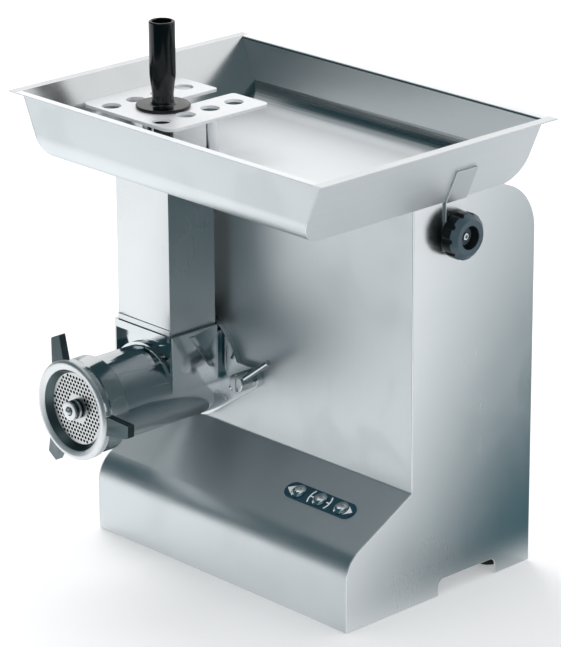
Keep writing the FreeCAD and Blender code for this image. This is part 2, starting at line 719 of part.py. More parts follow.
def mountFlange():
    """Round flange that takes the head's spigot, drawn in at the foot, with an ear for the clamp screw."""
    reach = (headRearY, columnY)
    footFall = "(flangeFoot - flangeEdge * cos(flangeSlope))"
    edgeRun = f"(flangeEdge * sin(flangeSlope) - {footFall} / tan(flangeSlope))"
    wide = "(flangeRadius + cutThrough)"
    edgeRise = f"(({wide} - {edgeRun}) * tan(flangeSlope))"
    low = "axisHeight - flangeFoot"
    shield = extruded("flangeShield", [(f"{axisX} - {edgeRun}", low, "flangeCorner"),
                                       (f"{axisX} + {edgeRun}", low, "flangeCorner"),
                                       (f"{axisX} + {wide}", f"{low} + {edgeRise}"),
                                       (f"{axisX} + {wide}", f"axisHeight + {wide}"),
                                       (f"{axisX} - {wide}", f"axisHeight + {wide}"),
                                       (f"{axisX} - {wide}", f"{low} + {edgeRise}")], "xz", reach)
    disc = common("flangeDisc", rod("flangeRound", "flangeRadius", reach, "y", headAxis), shield)
    earX = f"({clampX} + earEnd)"
    earStart = f"({axisX} + flangeEdge * sin(flangeSlope))"
    earRise = f"((clampReach + earEnd - {edgeRun}) * tan(flangeSlope))"
    ear = extruded("flangeEar",
                   [(earStart, "axisHeight - flangeEdge * cos(flangeSlope)"),
                    (earX, f"{low} + {earRise}", "earRound"), (earX, f"{clampZ} + earTop", "earRound"),
                    (earStart, f"{clampZ} + earTop")],
                   "xz", reach)
    through = past(headRearY, columnY)
    socket = rod("flangeSocket", "spigotRadius + pressGap", through, "y", headAxis)
    screwHole = rod("clampHole", "clampShankRadius + runGap", through, "y", clampAxis)
    spots = [(f"{axisX} + flangeScrewCircle * cos({turn})", f"axisHeight + flangeScrewCircle * sin({turn})")
             for turn in (45, 135, 200, 340)]
    boltHoles = [rod(f"flangeHole{number}", "boltRadius + seatGap", through, "y", spot)
                 for number, spot in enumerate(spots)]
    subPart("head_flange", cut("headFlange", fuse("flangeSolid", disc, ear), socket, screwHole, *boltHoles))
    bolts = [rod(f"flangeBolt{number}", "boltRadius", reach, "y", spot) for number, spot in enumerate(spots)]
    subPart("flange_screws", group("flangeScrews", *bolts))

    head = turned("clampHead", [("0", clampY), ("clampHeadRadius", clampY, "1"),
                                ("clampHeadRadius", f"{headRearY} - seatGap"),
                                ("clampShankRadius", f"{headRearY} - seatGap"),
                                ("clampShankRadius", f"{columnY} - seatGap"),
                                ("0", f"{columnY} - seatGap")], "y", clampAxis)
    slot = box("clampSlotCut", (f"{clampX} - clampSlot / 2", f"{clampX} + clampSlot / 2"),
               (f"{clampY} - cutThrough", f"{clampY} + clampSlotDeep"),
               past(f"{clampZ} - clampHeadRadius", f"{clampZ} + clampHeadRadius"))
    leverY = f"{clampY} + leverSet"
    for name, radius in (("leverHole", "leverRadius + pressGap"), ("lever", "leverRadius")):
        bar = doc.addObject("Part::Cylinder", name)
        bind(bar, "Radius", radius)
        bind(bar, "Height", "leverLong + leverShort")
        bar.Placement = Placement(Vector(), Rotation(Vector(0, 1, 0), 90 - size("leverTilt")))
        bind(bar, "Placement.Rotation.Angle", "90 - leverTilt")
        place(bar, f"{clampX} - leverShort * cos(leverTilt)", leverY,
              f"{clampZ} - leverShort * sin(leverTilt)")
    subPart("clamp_screw", cut("clampScrew", head, slot, doc.getObject("leverHole")))
    subPart("clamp_lever", doc.getObject("lever"))


def holePlate():
    """Round plate with a hexagonal field of holes, a centre bore and a key notch."""
    radius = size("plateRadius")
    pitch = size("platePitch")
    hole = size("plateHoleRadius")
    limit = size("ringMouth - plateHoleRadius - 0.6")
    hub = size("noseRadius + plateHoleRadius + 4")
    rings = [Part.makeCircle(radius), Part.makeCircle(size("noseRadius + runGap"))]
    rows = int(limit / (pitch * math.sqrt(3) / 2)) + 1
    for row in range(-rows, rows + 1):
        for column in range(-rows - 2, rows + 3):
            spot = Vector((column + 0.5 * (row % 2)) * pitch, row * pitch * math.sqrt(3) / 2, 0)
            if hub < spot.Length < limit:
                rings.append(Part.makeCircle(hole, spot))
    face = Part.makeFace([Part.Wire(ring) for ring in rings], "Part::FaceMakerBullseye")
    solid = face.extrude(Vector(0, 0, size("plateThick")))
    notch = Part.makeCylinder(size("keyRadius + seatGap"), size("plateThick"), Vector(0, radius, 0))
    solid = solid.cut(notch)
    solid.rotate(Vector(), Vector(1, 0, 0), -90)
    plate = shaped("hole_plate", solid)
    place(plate, axisX, plateY, "axisHeight")


def ringNut():
    """Clamping ring: rounded lip, conical mouth over the hole plate, tapered lugs that sweep back."""
    lip = "lipRadius - 2 * lipRound"
    body = turned("ringTurned",
                  [("ringMouth", f"{plateY} - seatGap"), (lip, f"{ringY} + lipRound * 0.4", "2"),
                   ("lipRadius - lipRound", ringY, "lipRound * 0.7"), ("lipRadius", ringY, "lipRound * 0.8"),
                   ("lipRadius", f"{ringY} + 2 * lipRound", "3"), ("ringRadius", f"{ringY} + 3 * lipRound"),
                   ("ringRadius", f"{plateY} + ringLong", "1.5"),
                   ("barrelRadius + seatGap", f"{plateY} + ringLong"),
                   ("barrelRadius + seatGap", f"{plateY} - seatGap")], "y", headAxis)
    lugs = []
    root = "(barrelRadius + seatGap + joinLap)"
    front = f"({ringY} + lugStart)"
    for number in range(int(size("lugCount"))):
        turn = f"(lugTurn + {number} * 360 / lugCount)"
        arm = spoke(f"ringArm{number}", [(root, "-lugRoot / 2"), ("lugReach", "-lugTip / 2", "2"),
                                         ("lugReach", "lugTip / 2", "2"), (root, "lugRoot / 2")], turn,
                    (front, f"{front} + lugSweep + lugThick"), headAxis)
        slab = extruded(f"ringSlab{number}",
                        [(root, front), ("lugReach", f"{front} + lugSweep"),
                         ("lugReach", f"{front} + lugSweep + lugThick"), (root, f"{front} + lugThick")],
                        "xy", ("-lugRoot", "lugRoot"))
        slab.Placement = Placement(Vector(), Rotation(Vector(0, -1, 0), size(turn)))
        bind(slab, "Placement.Rotation.Angle", turn)
        place(slab, f"{axisX} + lugRoot * sin({turn})", "0", f"axisHeight - lugRoot * cos({turn})")
        lugs.append(common(f"ringLug{number}", arm, slab))
    solid = fuse("ringSolid", body, *lugs)
    subPart("ring_nut", solid)


def grindingTrain():
    """What turns inside the head: worm, thrust washer, knife and the stud that carries the plate."""
    length = size(f"{wormRearY} - {wormY}")
    core = size("wormCore")
    flight = size("barrelBore - wormGap")
    thick = size("wormFlight")
    foot = core - size("joinLap")
    pitch = size("wormPitch")
    helix = Part.makeHelix(pitch, length - thick, core)
    profile = Part.makePolygon([Vector(foot, 0, -thick / 2), Vector(flight, 0, -thick / 4),
                                Vector(flight, 0, thick / 4), Vector(foot, 0, thick / 2),
                                Vector(foot, 0, -thick / 2)])
    blade = Part.Wire(helix).makePipeShell([profile], True, True)
    blade.translate(Vector(0, 0, thick / 2))
    barrel = Part.makeCylinder(core, length)
    worm = barrel.fuse(blade)
    shankLong = size(f"{columnY} - shankEase - ({wormRearY})")
    shank = Part.makeCylinder(size("journalRadius"), shankLong, Vector(0, 0, length))
    side = size("tangSide")
    tang = Part.makeBox(side, side, size("tangLong"), Vector(-side / 2, -side / 2, length + shankLong))
    worm = worm.fuse([shank, tang])
    socket = Part.makeCylinder(size("studRadius + pressGap"), 2 * size("tangLong"))
    worm = worm.cut(socket).removeSplitter()
    worm.rotate(Vector(), Vector(1, 0, 0), -90)
    place(shaped("worm", worm), axisX, wormY, "axisHeight")

    subPart("thrust_washer", tube("thrustWasher", "washerRadius", "journalRadius + pressGap",
                                  (wormRearY, f"{wormRearY} + washerThick - seatGap"), "y", headAxis))

    nose = f"{plateY} - noseStub"
    stud = turned("wormStud", [("0", f"{nose} - noseBall"), ("noseBall", nose, "noseBall * 0.4"),
                               ("noseRadius", nose, "1.5"), ("noseRadius", f"{plateY} - 2 * noseGroove"),
                               ("noseRadius - 2", f"{plateY} - 2 * noseGroove"),
                               ("noseRadius - 2", f"{plateY} - noseGroove"),
                               ("noseRadius", f"{plateY} - noseGroove"), ("noseRadius", knifeY),
                               ("studRadius", knifeY), ("studRadius", f"{wormY} + 2 * tangLong - seatGap"),
                               ("0", f"{wormY} + 2 * tangLong - seatGap")], "y", headAxis)
    subPart("worm_stud", stud)

    reach = (f"{knifeY} + pressGap", f"{wormY} - pressGap")
    hub = rod("knifeHub", "knifeArm * 1.1", reach, "y", headAxis)
    arms = [box("knifeArmX", (f"{axisX} - knifeRadius", f"{axisX} + knifeRadius"), reach,
                ("axisHeight - knifeArm / 2", "axisHeight + knifeArm / 2")),
            box("knifeArmZ", (f"{axisX} - knifeArm / 2", f"{axisX} + knifeArm / 2"), reach,
                ("axisHeight - knifeRadius", "axisHeight + knifeRadius"))]
    sweep = rod("knifeSweep", "knifeRadius", reach, "y", headAxis)
    blank = common("knifeBlank", fuse("knifeCross", hub, *arms), sweep)
    subPart("knife", cut("knifeBored", blank, rod("knifeBore", "studRadius + pressGap", reach, "y",
                                                  headAxis)))
    subPart("plate_key", rod("plateKey", "keyRadius", (f"{plateY} + cutThrough", f"{knifeY} + keySeat"), "y",
                             (axisX, "axisHeight - plateRadius")))


def gearShape(teeth, thick, bore, phase):
    """Involute spur gear along +Y from y = 0, with one tooth centred at the phase angle from +X."""
    module = size("gearModule")
    pitch = module * teeth / 2
    base = pitch * math.cos(math.radians(20))
    root = pitch - 1.25 * module
    tip = pitch + module
    start = max(base, root)
    halfTooth = math.pi / (2 * teeth) - size("backlash") / (2 * pitch)

    def involute(radius):
        slope = math.acos(min(1, base / radius))
        return math.tan(slope) - slope

    def point(radius, angle):
        return Vector(radius * math.cos(angle), 0, radius * math.sin(angle))

    edges = []
    step = 2 * math.pi / teeth
    for tooth in range(teeth):
        middle = math.radians(phase) + tooth * step
        half = {radius: halfTooth + involute(pitch) - involute(radius)
                for radius in (start, (start + tip) / 2, tip)}
        rising = [point(radius, middle - half[radius]) for radius in half]
        falling = [point(radius, middle + half[radius]) for radius in reversed(list(half))]
        footIn = point(root, middle - half[start])
        footOut = point(root, middle + half[start])
        footNext = point(root, middle + step - half[start])
        if root < start:
            edges.append(Part.LineSegment(footIn, rising[0]).toShape())
        edges.append(Part.Arc(*rising).toShape())
        edges.append(Part.Arc(rising[2], point(tip, middle), falling[0]).toShape())
        edges.append(Part.Arc(*falling).toShape())
        if root < start:
            edges.append(Part.LineSegment(falling[2], footOut).toShape())
        valley = point(root, middle + step / 2)
        edges.append(Part.Arc(footOut if root < start else falling[2], valley,
                              footNext if root < start else point(start,
                                                                  middle + step - half[start])).toShape())
    rim = Part.Wire(Part.__sortEdges__(edges))
    hole = Part.Wire(Part.makeCircle(bore, Vector(), Vector(0, 1, 0)))
    return Part.makeFace([rim, hole], "Part::FaceMakerBullseye").extrude(Vector(0, thick, 0))


def gearTrain():
    """Two equal spur steps from the motor shaft down to the worm's drive shaft."""
    wheel = int(size("wheelTeeth"))
    pinion = int(size("pinionTeeth"))
    press = size("pressGap")
    final = gearShape(wheel, size("wheelThick"), size("shaftRadius") + press, 0)
    place(shaped("final_gear", final), axisX, finalY, "axisHeight")
    idlerSmall = gearShape(pinion, size("wheelThick"), size("idlerRadius") + press, 180 + 180 / pinion)
    place(shaped("idler_pinion", idlerSmall), idlerX, finalY, "axisHeight")
    idlerLarge = gearShape(wheel, size("idlerThick"), size("idlerRadius") + press, 0)
    place(shaped("idler_gear", idlerLarge), idlerX, idlerY, "axisHeight")
    motorSmall = gearShape(pinion, size("idlerThick"), size("motorShaftRadius") + press, 180 + 180 / pinion)
    place(shaped("motor_pinion", motorSmall), motorX, idlerY, "axisHeight")

    shaftFront = f"{columnY} - shankEase"
    shaft = rod("driveBar", "shaftRadius", (shaftFront, f"{coverGearY} + bearingThick"), "y", headAxis)
    socketHalf = "(tangSide / 2 + pressGap)"
    socket = box("driveSocket", (f"{axisX} - {socketHalf}", f"{axisX} + {socketHalf}"),
                 (f"{shaftFront} - cutThrough", f"{shaftFront} + tangLong + seatGap"),
                 (f"axisHeight - {socketHalf}", f"axisHeight + {socketHalf}"))
    subPart("drive_shaft", cut("driveShaft", shaft, socket))
    subPart("idler_shaft", rod("idlerShaft", "idlerRadius",
                               (f"{insideY} + boxWall - bearingThick", f"{coverGearY} + bearingThick"),
                               "y", idlerAxis))


def gearbox():
    """Cast box open to the rear, its cover, and the bearings and seal in their walls."""
    left = f"({axisX} - {wheelRadius} - gearModule - gearGap - boxSide)"
    right = f"({motorX} + {pinionRadius} + gearModule + gearGap + boxSide)"
    low = f"(axisHeight - {wheelRadius} - gearModule - gearGap - boxSide)"
    high = f"(axisHeight + {wheelRadius} + gearModule + gearGap + boxSide)"
    case = box("boxBlock", (left, right), (insideY, coverGearY), (low, high))
    room = box("boxRoom", (f"{left} + boxSide", f"{right} - boxSide"),
               (f"{insideY} + boxWall", f"{coverGearY} + cutThrough"),
               (f"{low} + boxSide", f"{high} - boxSide"))
    drivePocket = rod("drivePocket", "shaftBearingRadius + pressGap",
                      (f"{insideY} + boxWall - bearingThick", f"{insideY} + boxWall + cutThrough"), "y",
                      headAxis)
    driveBore = rod("driveBore", "shaftRadius + sealWide", (f"{insideY} - cutThrough",
                                                            f"{insideY} + boxWall"), "y", headAxis)
    idlerPocket = rod("idlerPocket", "idlerBearingRadius + pressGap",
                      (f"{insideY} + boxWall - bearingThick", f"{insideY} + boxWall + cutThrough"), "y",
                      idlerAxis)
    subPart("gearbox_housing", cut("gearboxHousing", case, room, drivePocket, driveBore, idlerPocket))

    lid = box("boxLid", (left, right), (coverGearY, motorY), (low, high))
    rearPockets = [rod("driveRearPocket", "shaftBearingRadius + pressGap",
                       (f"{coverGearY} - cutThrough", f"{coverGearY} + bearingThick"), "y", headAxis),
                   rod("idlerRearPocket", "idlerBearingRadius + pressGap",
                       (f"{coverGearY} - cutThrough", f"{coverGearY} + bearingThick"), "y", idlerAxis),
                   rod("motorNoseHole", "motorShaftRadius + shaftEase", past(coverGearY, motorY), "y",
                       motorAxis)]
    subPart("gearbox_cover", cut("gearboxCover", lid, *rearPockets))
    frontBearings = (f"{insideY} + boxWall - bearingThick", f"{insideY} + boxWall")
    rearBearings = (coverGearY, f"{coverGearY} + bearingThick")
    subPart("drive_bearings", group("driveBearings", *[
        tube(f"driveBearing{number}", "shaftBearingRadius", "shaftRadius + runGap", reach, "y", headAxis)
        for number, reach in enumerate((frontBearings, rearBearings))]))
    subPart("idler_bearings", group("idlerBearings", *[
        tube(f"idlerBearing{number}", "idlerBearingRadius", "idlerRadius + runGap", reach, "y", idlerAxis)
        for number, reach in enumerate((frontBearings, rearBearings))]))
    subPart("shaft_seal", tube("shaftSeal", "shaftRadius + sealWide - pressGap", "shaftRadius + runGap",
                               (insideY, f"{insideY} + sealThick"), "y", headAxis))
    spots = [(x, z) for x in (f"{left} + boxSide / 2", f"{idlerX} - boxSide")
             for z in (f"{low} + boxSide / 2", f"{high} - boxSide / 2")]
    heads = [rod(f"boxBolt{number}", "boxSide / 2 - seatGap", (motorY, f"{motorY} + boltHeadThick"), "y",
                 spot) for number, spot in enumerate(spots)]
    subPart("gearbox_screws", group("gearboxScrews", *heads))

    footLow = "floorPlateRise + sheetThick"
    foot = extruded("bracketFold", [(f"{insideY} + mountInset", footLow), (motorY, footLow),
                                    (motorY, f"{footLow} + mountSheet"),
                                    (f"{insideY} + mountInset + mountSheet", f"{footLow} + mountSheet"),
                                    (f"{insideY} + mountInset + mountSheet", f"{low} - mountSheet"),
                                    (motorY, f"{low} - mountSheet"), (motorY, low),
                                    (f"{insideY} + mountInset", low)], "yz",
                    (f"{axisX} + mountInset", f"{motorX} - mountInset / 2"))
    subPart("drive_bracket", foot)


def motor():
    """Flange-mounted motor on the back of the gearbox cover."""
    outside = rod("motorCan", "motorRadius", (motorY, shieldY), "y", motorAxis)
    inside = rod("motorRoom", "motorRadius - motorWall", (f"{motorY} + motorShield",
                                                          f"{shieldY} + cutThrough"), "y", motorAxis)
    nose = rod("motorNose", "motorShaftRadius + shaftEase", past(motorY, f"{motorY} + motorShield"), "y",
               motorAxis)
    seat = rod("motorFrontSeat", "motorBearingRadius + pressGap",
               (f"{motorY} + shieldLip", f"{motorY} + motorShield + cutThrough"), "y", motorAxis)
    subPart("motor_shell", cut("motorShell", outside, inside, nose, seat))
    disc = rod("shieldDisc", "motorRadius", (shieldY, f"{shieldY} + motorShield"), "y", motorAxis)
    rearSeat = rod("motorRearSeat", "motorBearingRadius + pressGap",
                   (f"{shieldY} - cutThrough", f"{shieldY} + motorShield - shieldLip"), "y", motorAxis)
    rearHole = rod("motorRearHole", "motorShaftRadius + shaftEase",
                   past(shieldY, f"{shieldY} + motorShield"), "y", motorAxis)
    subPart("motor_end_shield", cut("motorEndShield", disc, rearSeat, rearHole))
    bearingReach = [(f"{motorY} + shieldLip", f"{motorY} + motorShield"),
                    (shieldY, f"{shieldY} + motorShield - shieldLip")]
    subPart("motor_bearings", group("motorBearings", *[tube(f"motorBearing{number}", "motorBearingRadius",
                                                            "motorShaftRadius + runGap", reach, "y",
                                                            motorAxis)
                                                       for number, reach in enumerate(bearingReach)]))
    middle = f"(({motorY} + motorShield + {shieldY}) / 2)"
    coreReach = (f"{middle} - coreLong / 2", f"{middle} + coreLong / 2")
    bore = "(motorRadius - motorWall - statorWall)"
    subPart("stator", tube("statorRing", "motorRadius - motorWall - pressGap", bore, coreReach, "y",
                           motorAxis))
    subPart("rotor", tube("rotorCore", f"{bore} - airGap", "motorShaftRadius + pressGap", coreReach, "y",
                          motorAxis))
    subPart("motor_shaft", rod("motorShaft", "motorShaftRadius", (idlerY, f"{fanY} + fanLong"), "y",
                               motorAxis))
    hub = rod("fanHub", "motorShaftRadius + fanHubWall", (fanY, f"{fanY} + fanLong"), "y", motorAxis)
    disc = rod("fanDisc", "motorRadius * 0.8", (fanY, f"{fanY} + fanSheet"), "y", motorAxis)
    blades = [spoke(f"fanBlade{number}", [("motorShaftRadius + fanHubWall - joinLap", "-fanSheet / 2"),
                                          ("motorRadius * 0.8", "-fanSheet / 2"),
                                          ("motorRadius * 0.8", "fanSheet / 2"),
                                          ("motorShaftRadius + fanHubWall - joinLap", "fanSheet / 2")],
                    f"{number} * 60", (fanY, f"{fanY} + fanLong"), motorAxis) for number in range(6)]
    bore = rod("fanBore", "motorShaftRadius + pressGap", past(fanY, f"{fanY} + fanLong"), "y", motorAxis)
    subPart("motor_fan", cut("motorFan", fuse("fanSolid", hub, disc, *blades), bore))


def trayProfile():
    """Outside of the tray in the YZ plane: rim, wall, round bend, floor, bend, wall, rim."""
    low = f"{rimZ} - traySheet"
    return [(rimFrontY, low), (wallFrontY, low, "rimBend"), (wallFrontY, floorZ, "trayBend"),
            (wallRearY, floorZ, "trayBend"), (wallRearY, low, "rimBend"), (rimRearY, low)]


def tray():
    inner = [(rimRearY, rimZ), (f"{wallRearY} - traySheet", rimZ, "rimBend + traySheet"),
             (f"{wallRearY} - traySheet", f"{floorZ} + traySheet", "trayBend - traySheet"),
             (f"{wallFrontY} + traySheet", f"{floorZ} + traySheet", "trayBend - traySheet"),
             (f"{wallFrontY} + traySheet", rimZ, "rimBend + traySheet"), (rimFrontY, rimZ)]
    across = ("-trayWidth / 2", "trayWidth / 2")
    trough = extruded("trayTrough", trayProfile() + inner, "yz", across)
    endTop = f"({rimHalf} - {endSkew})"
    endFoot = f"({floorHalf} - {endSkew})"
    limits = extruded("trayLimits", [(f"-{endFoot}", floorZ), (endFoot, floorZ), (endTop, rimZ),
                                     (f"-{endTop}", rimZ)], "xz", (rimFrontY, rimRearY))
    inside = [f"({axisX} - chuteWidth / 2 + chuteWall)", f"({axisX} + chuteWidth / 2 - chuteWall)"]
    depth = [f"({chuteY} - chuteDepth / 2 + chuteWall)", f"({chuteY} + chuteDepth / 2 - chuteWall)"]
    mouth = box("trayMouth", inside, depth, past(floorZ, f"{floorZ} + traySheet"))
    subPart("tray_pan", cut("trayPan", common("trayTrimmed", trough, limits), mouth))

    low = f"({rimZ} - traySheet)"
    for side, label in ((-1, "tray_end_left"), (1, "tray_end_right")):
        section = [(f"{side} * {endFoot}", floorZ), (f"{side} * {floorHalf}", floorZ),
                   (f"{side} * ({rimHalf} - {endSlant} * traySheet)", low), (f"{side} * trayWidth / 2", low),
                   (f"{side} * trayWidth / 2", rimZ), (f"{side} * {endTop}", rimZ)]
        strip = extruded(label + "Strip", section, "xz", (rimFrontY, rimRearY))
        filled = extruded(label + "Fill", trayProfile() + [(rimRearY, rimZ), (rimFrontY, rimZ)], "yz", across)
        subPart(label, common(label + "Plate", strip, filled))

    outX = (f"{axisX} - chuteWidth / 2", f"{axisX} + chuteWidth / 2")
    outY = (f"{chuteY} - chuteDepth / 2", f"{chuteY} + chuteDepth / 2")
    foot = "(neckTop + seatGap)"
    spigotX = "(neckWidth / 2 - neckWall - 2 * seatGap)"
    spigotFront = f"({neckFrontY} + neckWall + neckRecess / 2 + 2 * seatGap)"
    spigotRear = f"({neckRearY} - neckWall - 2 * seatGap)"
    spigot = box("chuteSpigotOut", (f"{axisX} - {spigotX}", f"{axisX} + {spigotX}"),
                 (spigotFront, spigotRear), ("neckTop - chuteSpigot", f"{foot} + chuteWall"))
    passage = box("chutePassage", (f"{axisX} - {spigotX} + chuteWall", f"{axisX} + {spigotX} - chuteWall"),
                  (f"{spigotFront} + chuteWall", f"{spigotRear} - chuteWall"),
                  past("neckTop - chuteSpigot", f"{foot} + chuteWall"))
    duct = box("chuteDuct", outX, outY, (foot, floorZ))
    room = box("chuteRoom", inside, depth, (f"{foot} + chuteWall", f"{floorZ} + cutThrough"))
    hem = box("chuteHemStrip", outX, (f"{outY[0]} - hemProud", outY[0]), (foot, f"{foot} + chuteHem"))
    subPart("chute", cut("chuteOpen", fuse("chuteSolid", duct, spigot, hem), room, passage))

    tail = "knobHeight - bracketTail"
    rise = f"({floorZ} + bracketRise)"
    topX = f"({floorHalf} + {endSlant} * bracketRise)"
    thick = f"(bracketThick * (sqrt(1 + {endSlant}^2) - {endSlant}))"
    profile = [(floorHalf, tail), (f"{floorHalf} + bracketThick", tail),
               (f"{floorHalf} + bracketThick", f"{floorZ} + {thick} - bracketThick"),
               (f"{topX} + bracketThick * sqrt(1 + {endSlant}^2)", rise), (topX, rise), (floorHalf, floorZ)]
    strap = extruded("bracketStrap", profile, "xz", (f"{knobY} - bracketWidth / 2",
                                                     f"{knobY} + bracketWidth / 2"))
    slot = box("bracketSlot", past(floorHalf, f"{floorHalf} + bracketThick"),
               (f"{knobY} - studBolt - 2 * seatGap", f"{knobY} + studBolt + 2 * seatGap"),
               (f"{tail} - cutThrough", "knobHeight"))
    slotTop = rod("bracketSlotTop", "studBolt + 2 * seatGap", past(floorHalf, f"{floorHalf} + bracketThick"),
                  "x", (knobY, "knobHeight"))
    subPart("tray_bracket", cut("trayBracket", strap, slot, slotTop))


def guard():
    """Raised plate over the tray mouth: a slot open to the rear, two rows of holes, two tube legs."""
    front = guardFrontY
    rear = f"({guardFrontY} + guardDepth)"
    half = "guardWidth / 2"
    slot = "guardSlot / 2"
    slotFront = f"({chuteY} - {slot} - seatGap)"
    corners = [(f"{guardX} - {half}", front, "guardRound"), (f"{guardX} + {half}", front, "guardRound"),
               (f"{guardX} + {half}", rear, "guardRound * 0.7"),
               (f"{axisX} + {slot}", rear, "guardRound * 0.4"),
               (f"{axisX} + {slot}", slotFront, f"{slot} - 0.01"),
               (f"{axisX} - {slot}", slotFront, f"{slot} - 0.01"),
               (f"{axisX} - {slot}", rear, "guardRound * 0.4"),
               (f"{guardX} - {half}", rear, "guardRound * 0.7")]
    plate = extruded("guardBlank", corners, "xy", (f"{guardZ} - guardThick", guardZ))
    holes = [rod(f"guardHole{number}", "guardHole", past(f"{guardZ} - guardThick", guardZ), "z",
                 (f"{guardX} {side} guardRows / 2",
                  f"{front} + guardMargin + {number} * guardPitch")) for side in "-+" for number in range(4)]
    subPart("guard_plate", cut("guardPlate", plate, *holes))
    legs = [tube(f"guardLeg{number}", "legRadius", "legRadius - legWall",
                 (f"{floorZ} + traySheet", f"{guardZ} - guardThick"), "z",
                 (f"{axisX} {sign} legSpread / 2", legY)) for number, sign in enumerate("-+")]
    subPart("guard_legs", group("guardLegs", *legs))


def knob():
    """Lobed clamping knob on a stud through the side panel, with a nut inside the panel."""
    back = f"({floorHalf} + bracketThick + seatGap)"
    face = f"({back} + knobDeep)"
    centre = (knobY, "knobHeight")
    body = turned("knobTurned", [("studBolt + runGap", back), ("knobRadius - 3", back, "1.5"),
                                 ("knobRadius", f"{back} + knobDeep * 0.2", "2"),
                                 ("knobRadius", f"{face} - knobDeep * 0.3", "3"), ("knobFace", face, "1.5"),
                                 ("knobDish", face, "1.2"), ("knobHub", f"{face} - knobDishDeep", "1"),
                                 ("studBolt + runGap", f"{face} - knobDishDeep")], "x", centre)
    scallops = [rod(f"knobScallop{number}", "knobScallop", past(back, face), "x",
                    (f"{knobY} + (knobRadius + knobScallop * 0.45) * cos({number} * 360 / knobLobes)",
                     f"knobHeight + (knobRadius + knobScallop * 0.45) * sin({number} * 360 / knobLobes)"))
                for number in range(int(size("knobLobes")))]
    subPart("tray_knob", cut("trayKnob", body, *scallops))
    stud = turned("studTurned", [("0", f"{insideX} - nutThick - studTail"),
                                 ("studBolt - pressGap", f"{insideX} - nutThick - studTail"),
                                 ("studBolt - pressGap", f"{face} - knobDishDeep + studProud", "1.2"),
                                 ("studBoltHole", f"{face} - knobDishDeep + studProud"),
                                 ("studBoltHole", f"{face} - knobDishDeep + studProud - studHoleDeep"),
                                 ("0", f"{face} - knobDishDeep + studProud - studHoleDeep")], "x", centre)
    subPart("knob_stud", stud)
    flat = "(nutAcross / 2)"
    point = f"({flat} / cos(30))"
    corners = [(f"{knobY} + {point} * cos({turn})", f"knobHeight + {point} * sin({turn})")
               for turn in range(0, 360, 60)]
    nut = extruded("nutHex", corners, "yz", (f"{insideX} - nutThick", insideX))
    bore = rod("nutBore", "studBolt", past(f"{insideX} - nutThick", insideX), "x", centre)
    subPart("stud_nut", cut("studNut", nut, bore))


def pestle():
    """Moulded pestle: hollow-topped handle, collar that rests on the guard, rod down the chute."""
    low = f"({guardZ} + seatGap)"
    collar = f"({low} + collarThick)"
    top = f"({guardZ} + handleHigh)"
    profile = [("0", f"{low} - rodLong"), ("rodRadius", f"{low} - rodLong", "4"), ("rodRadius", low),
               ("collarRadius", low, "1"), ("collarRadius", collar, "1.5"),
               ("handleWaist", collar, "collarFillet"), ("handleWaist", f"{collar} + handleHigh * 0.12",
                                                         "20"),
               ("handleRadius", f"{collar} + handleHigh * 0.34", "40"), ("handleRadius", top, "1.8"),
               ("handleHollow", top, "1.5"), ("handleHollow", f"{top} - handleHollowDeep", "3"),
               ("0", f"{top} - handleHollowDeep")]
    subPart("pestle", turned("pestleTurned", profile, "z", (axisX, chuteY)))


stand()
controls()
headCasting()
mountFlange()
holePlate()
ringNut()
grindingTrain()
gearTrain()
gearbox()
motor()
tray()
guard()
knob()
pestle()
doc.recompute()

for thing in doc.Objects:
    if "Invalid" in thing.State or "Error" in thing.State:
        raise RuntimeError(f"{thing.Name} did not recompute: {thing.State}")
for thing in subParts:
    if thing.Shape.isNull() or not thing.Shape.isValid():
        raise RuntimeError(f"{thing.Label} has no valid shape")

os.makedirs("parts", exist_ok=True)
for thing in subParts:
    thing.Shape.exportStep(f"parts/{thing.Label}.step")
print(len(subParts), "sub-parts written")
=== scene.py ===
import json
import math
import bmesh
import bpy
from mathutils import Matrix, Vector


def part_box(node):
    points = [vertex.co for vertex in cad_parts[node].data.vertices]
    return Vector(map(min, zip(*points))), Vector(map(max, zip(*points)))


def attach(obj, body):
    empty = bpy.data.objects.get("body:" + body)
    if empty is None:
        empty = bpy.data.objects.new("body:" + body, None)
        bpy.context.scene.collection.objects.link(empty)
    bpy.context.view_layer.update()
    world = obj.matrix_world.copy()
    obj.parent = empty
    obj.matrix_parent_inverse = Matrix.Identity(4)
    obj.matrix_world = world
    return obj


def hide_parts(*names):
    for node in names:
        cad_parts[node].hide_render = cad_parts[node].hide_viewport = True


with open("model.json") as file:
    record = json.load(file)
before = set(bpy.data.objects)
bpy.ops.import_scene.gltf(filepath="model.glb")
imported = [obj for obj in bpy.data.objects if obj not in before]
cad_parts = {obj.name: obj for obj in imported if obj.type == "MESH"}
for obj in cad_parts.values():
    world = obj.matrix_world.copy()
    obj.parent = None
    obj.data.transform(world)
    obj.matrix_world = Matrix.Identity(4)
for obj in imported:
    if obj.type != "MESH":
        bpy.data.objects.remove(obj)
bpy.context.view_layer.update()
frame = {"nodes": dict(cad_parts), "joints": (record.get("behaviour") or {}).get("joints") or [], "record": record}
scene = bpy.context.scene
scene.view_settings.view_transform = "Standard"
nodesOfBody = frame["record"]["behaviour"]["bodies"]
bodyOf = {node: body for body, nodes in nodesOfBody.items() for node in nodes}
slotOf = {entry["node"]: entry["material_slot"] for entry in frame["record"]["subparts"]}

camera = {"azimuth": 46.74, "elevation": 19.81, "roll": -0.34, "lens": 197.45, "sensor": 36.0,
          "clipEnd": 60.0, "spot": (3.0385, -2.8628, 1.8178)}


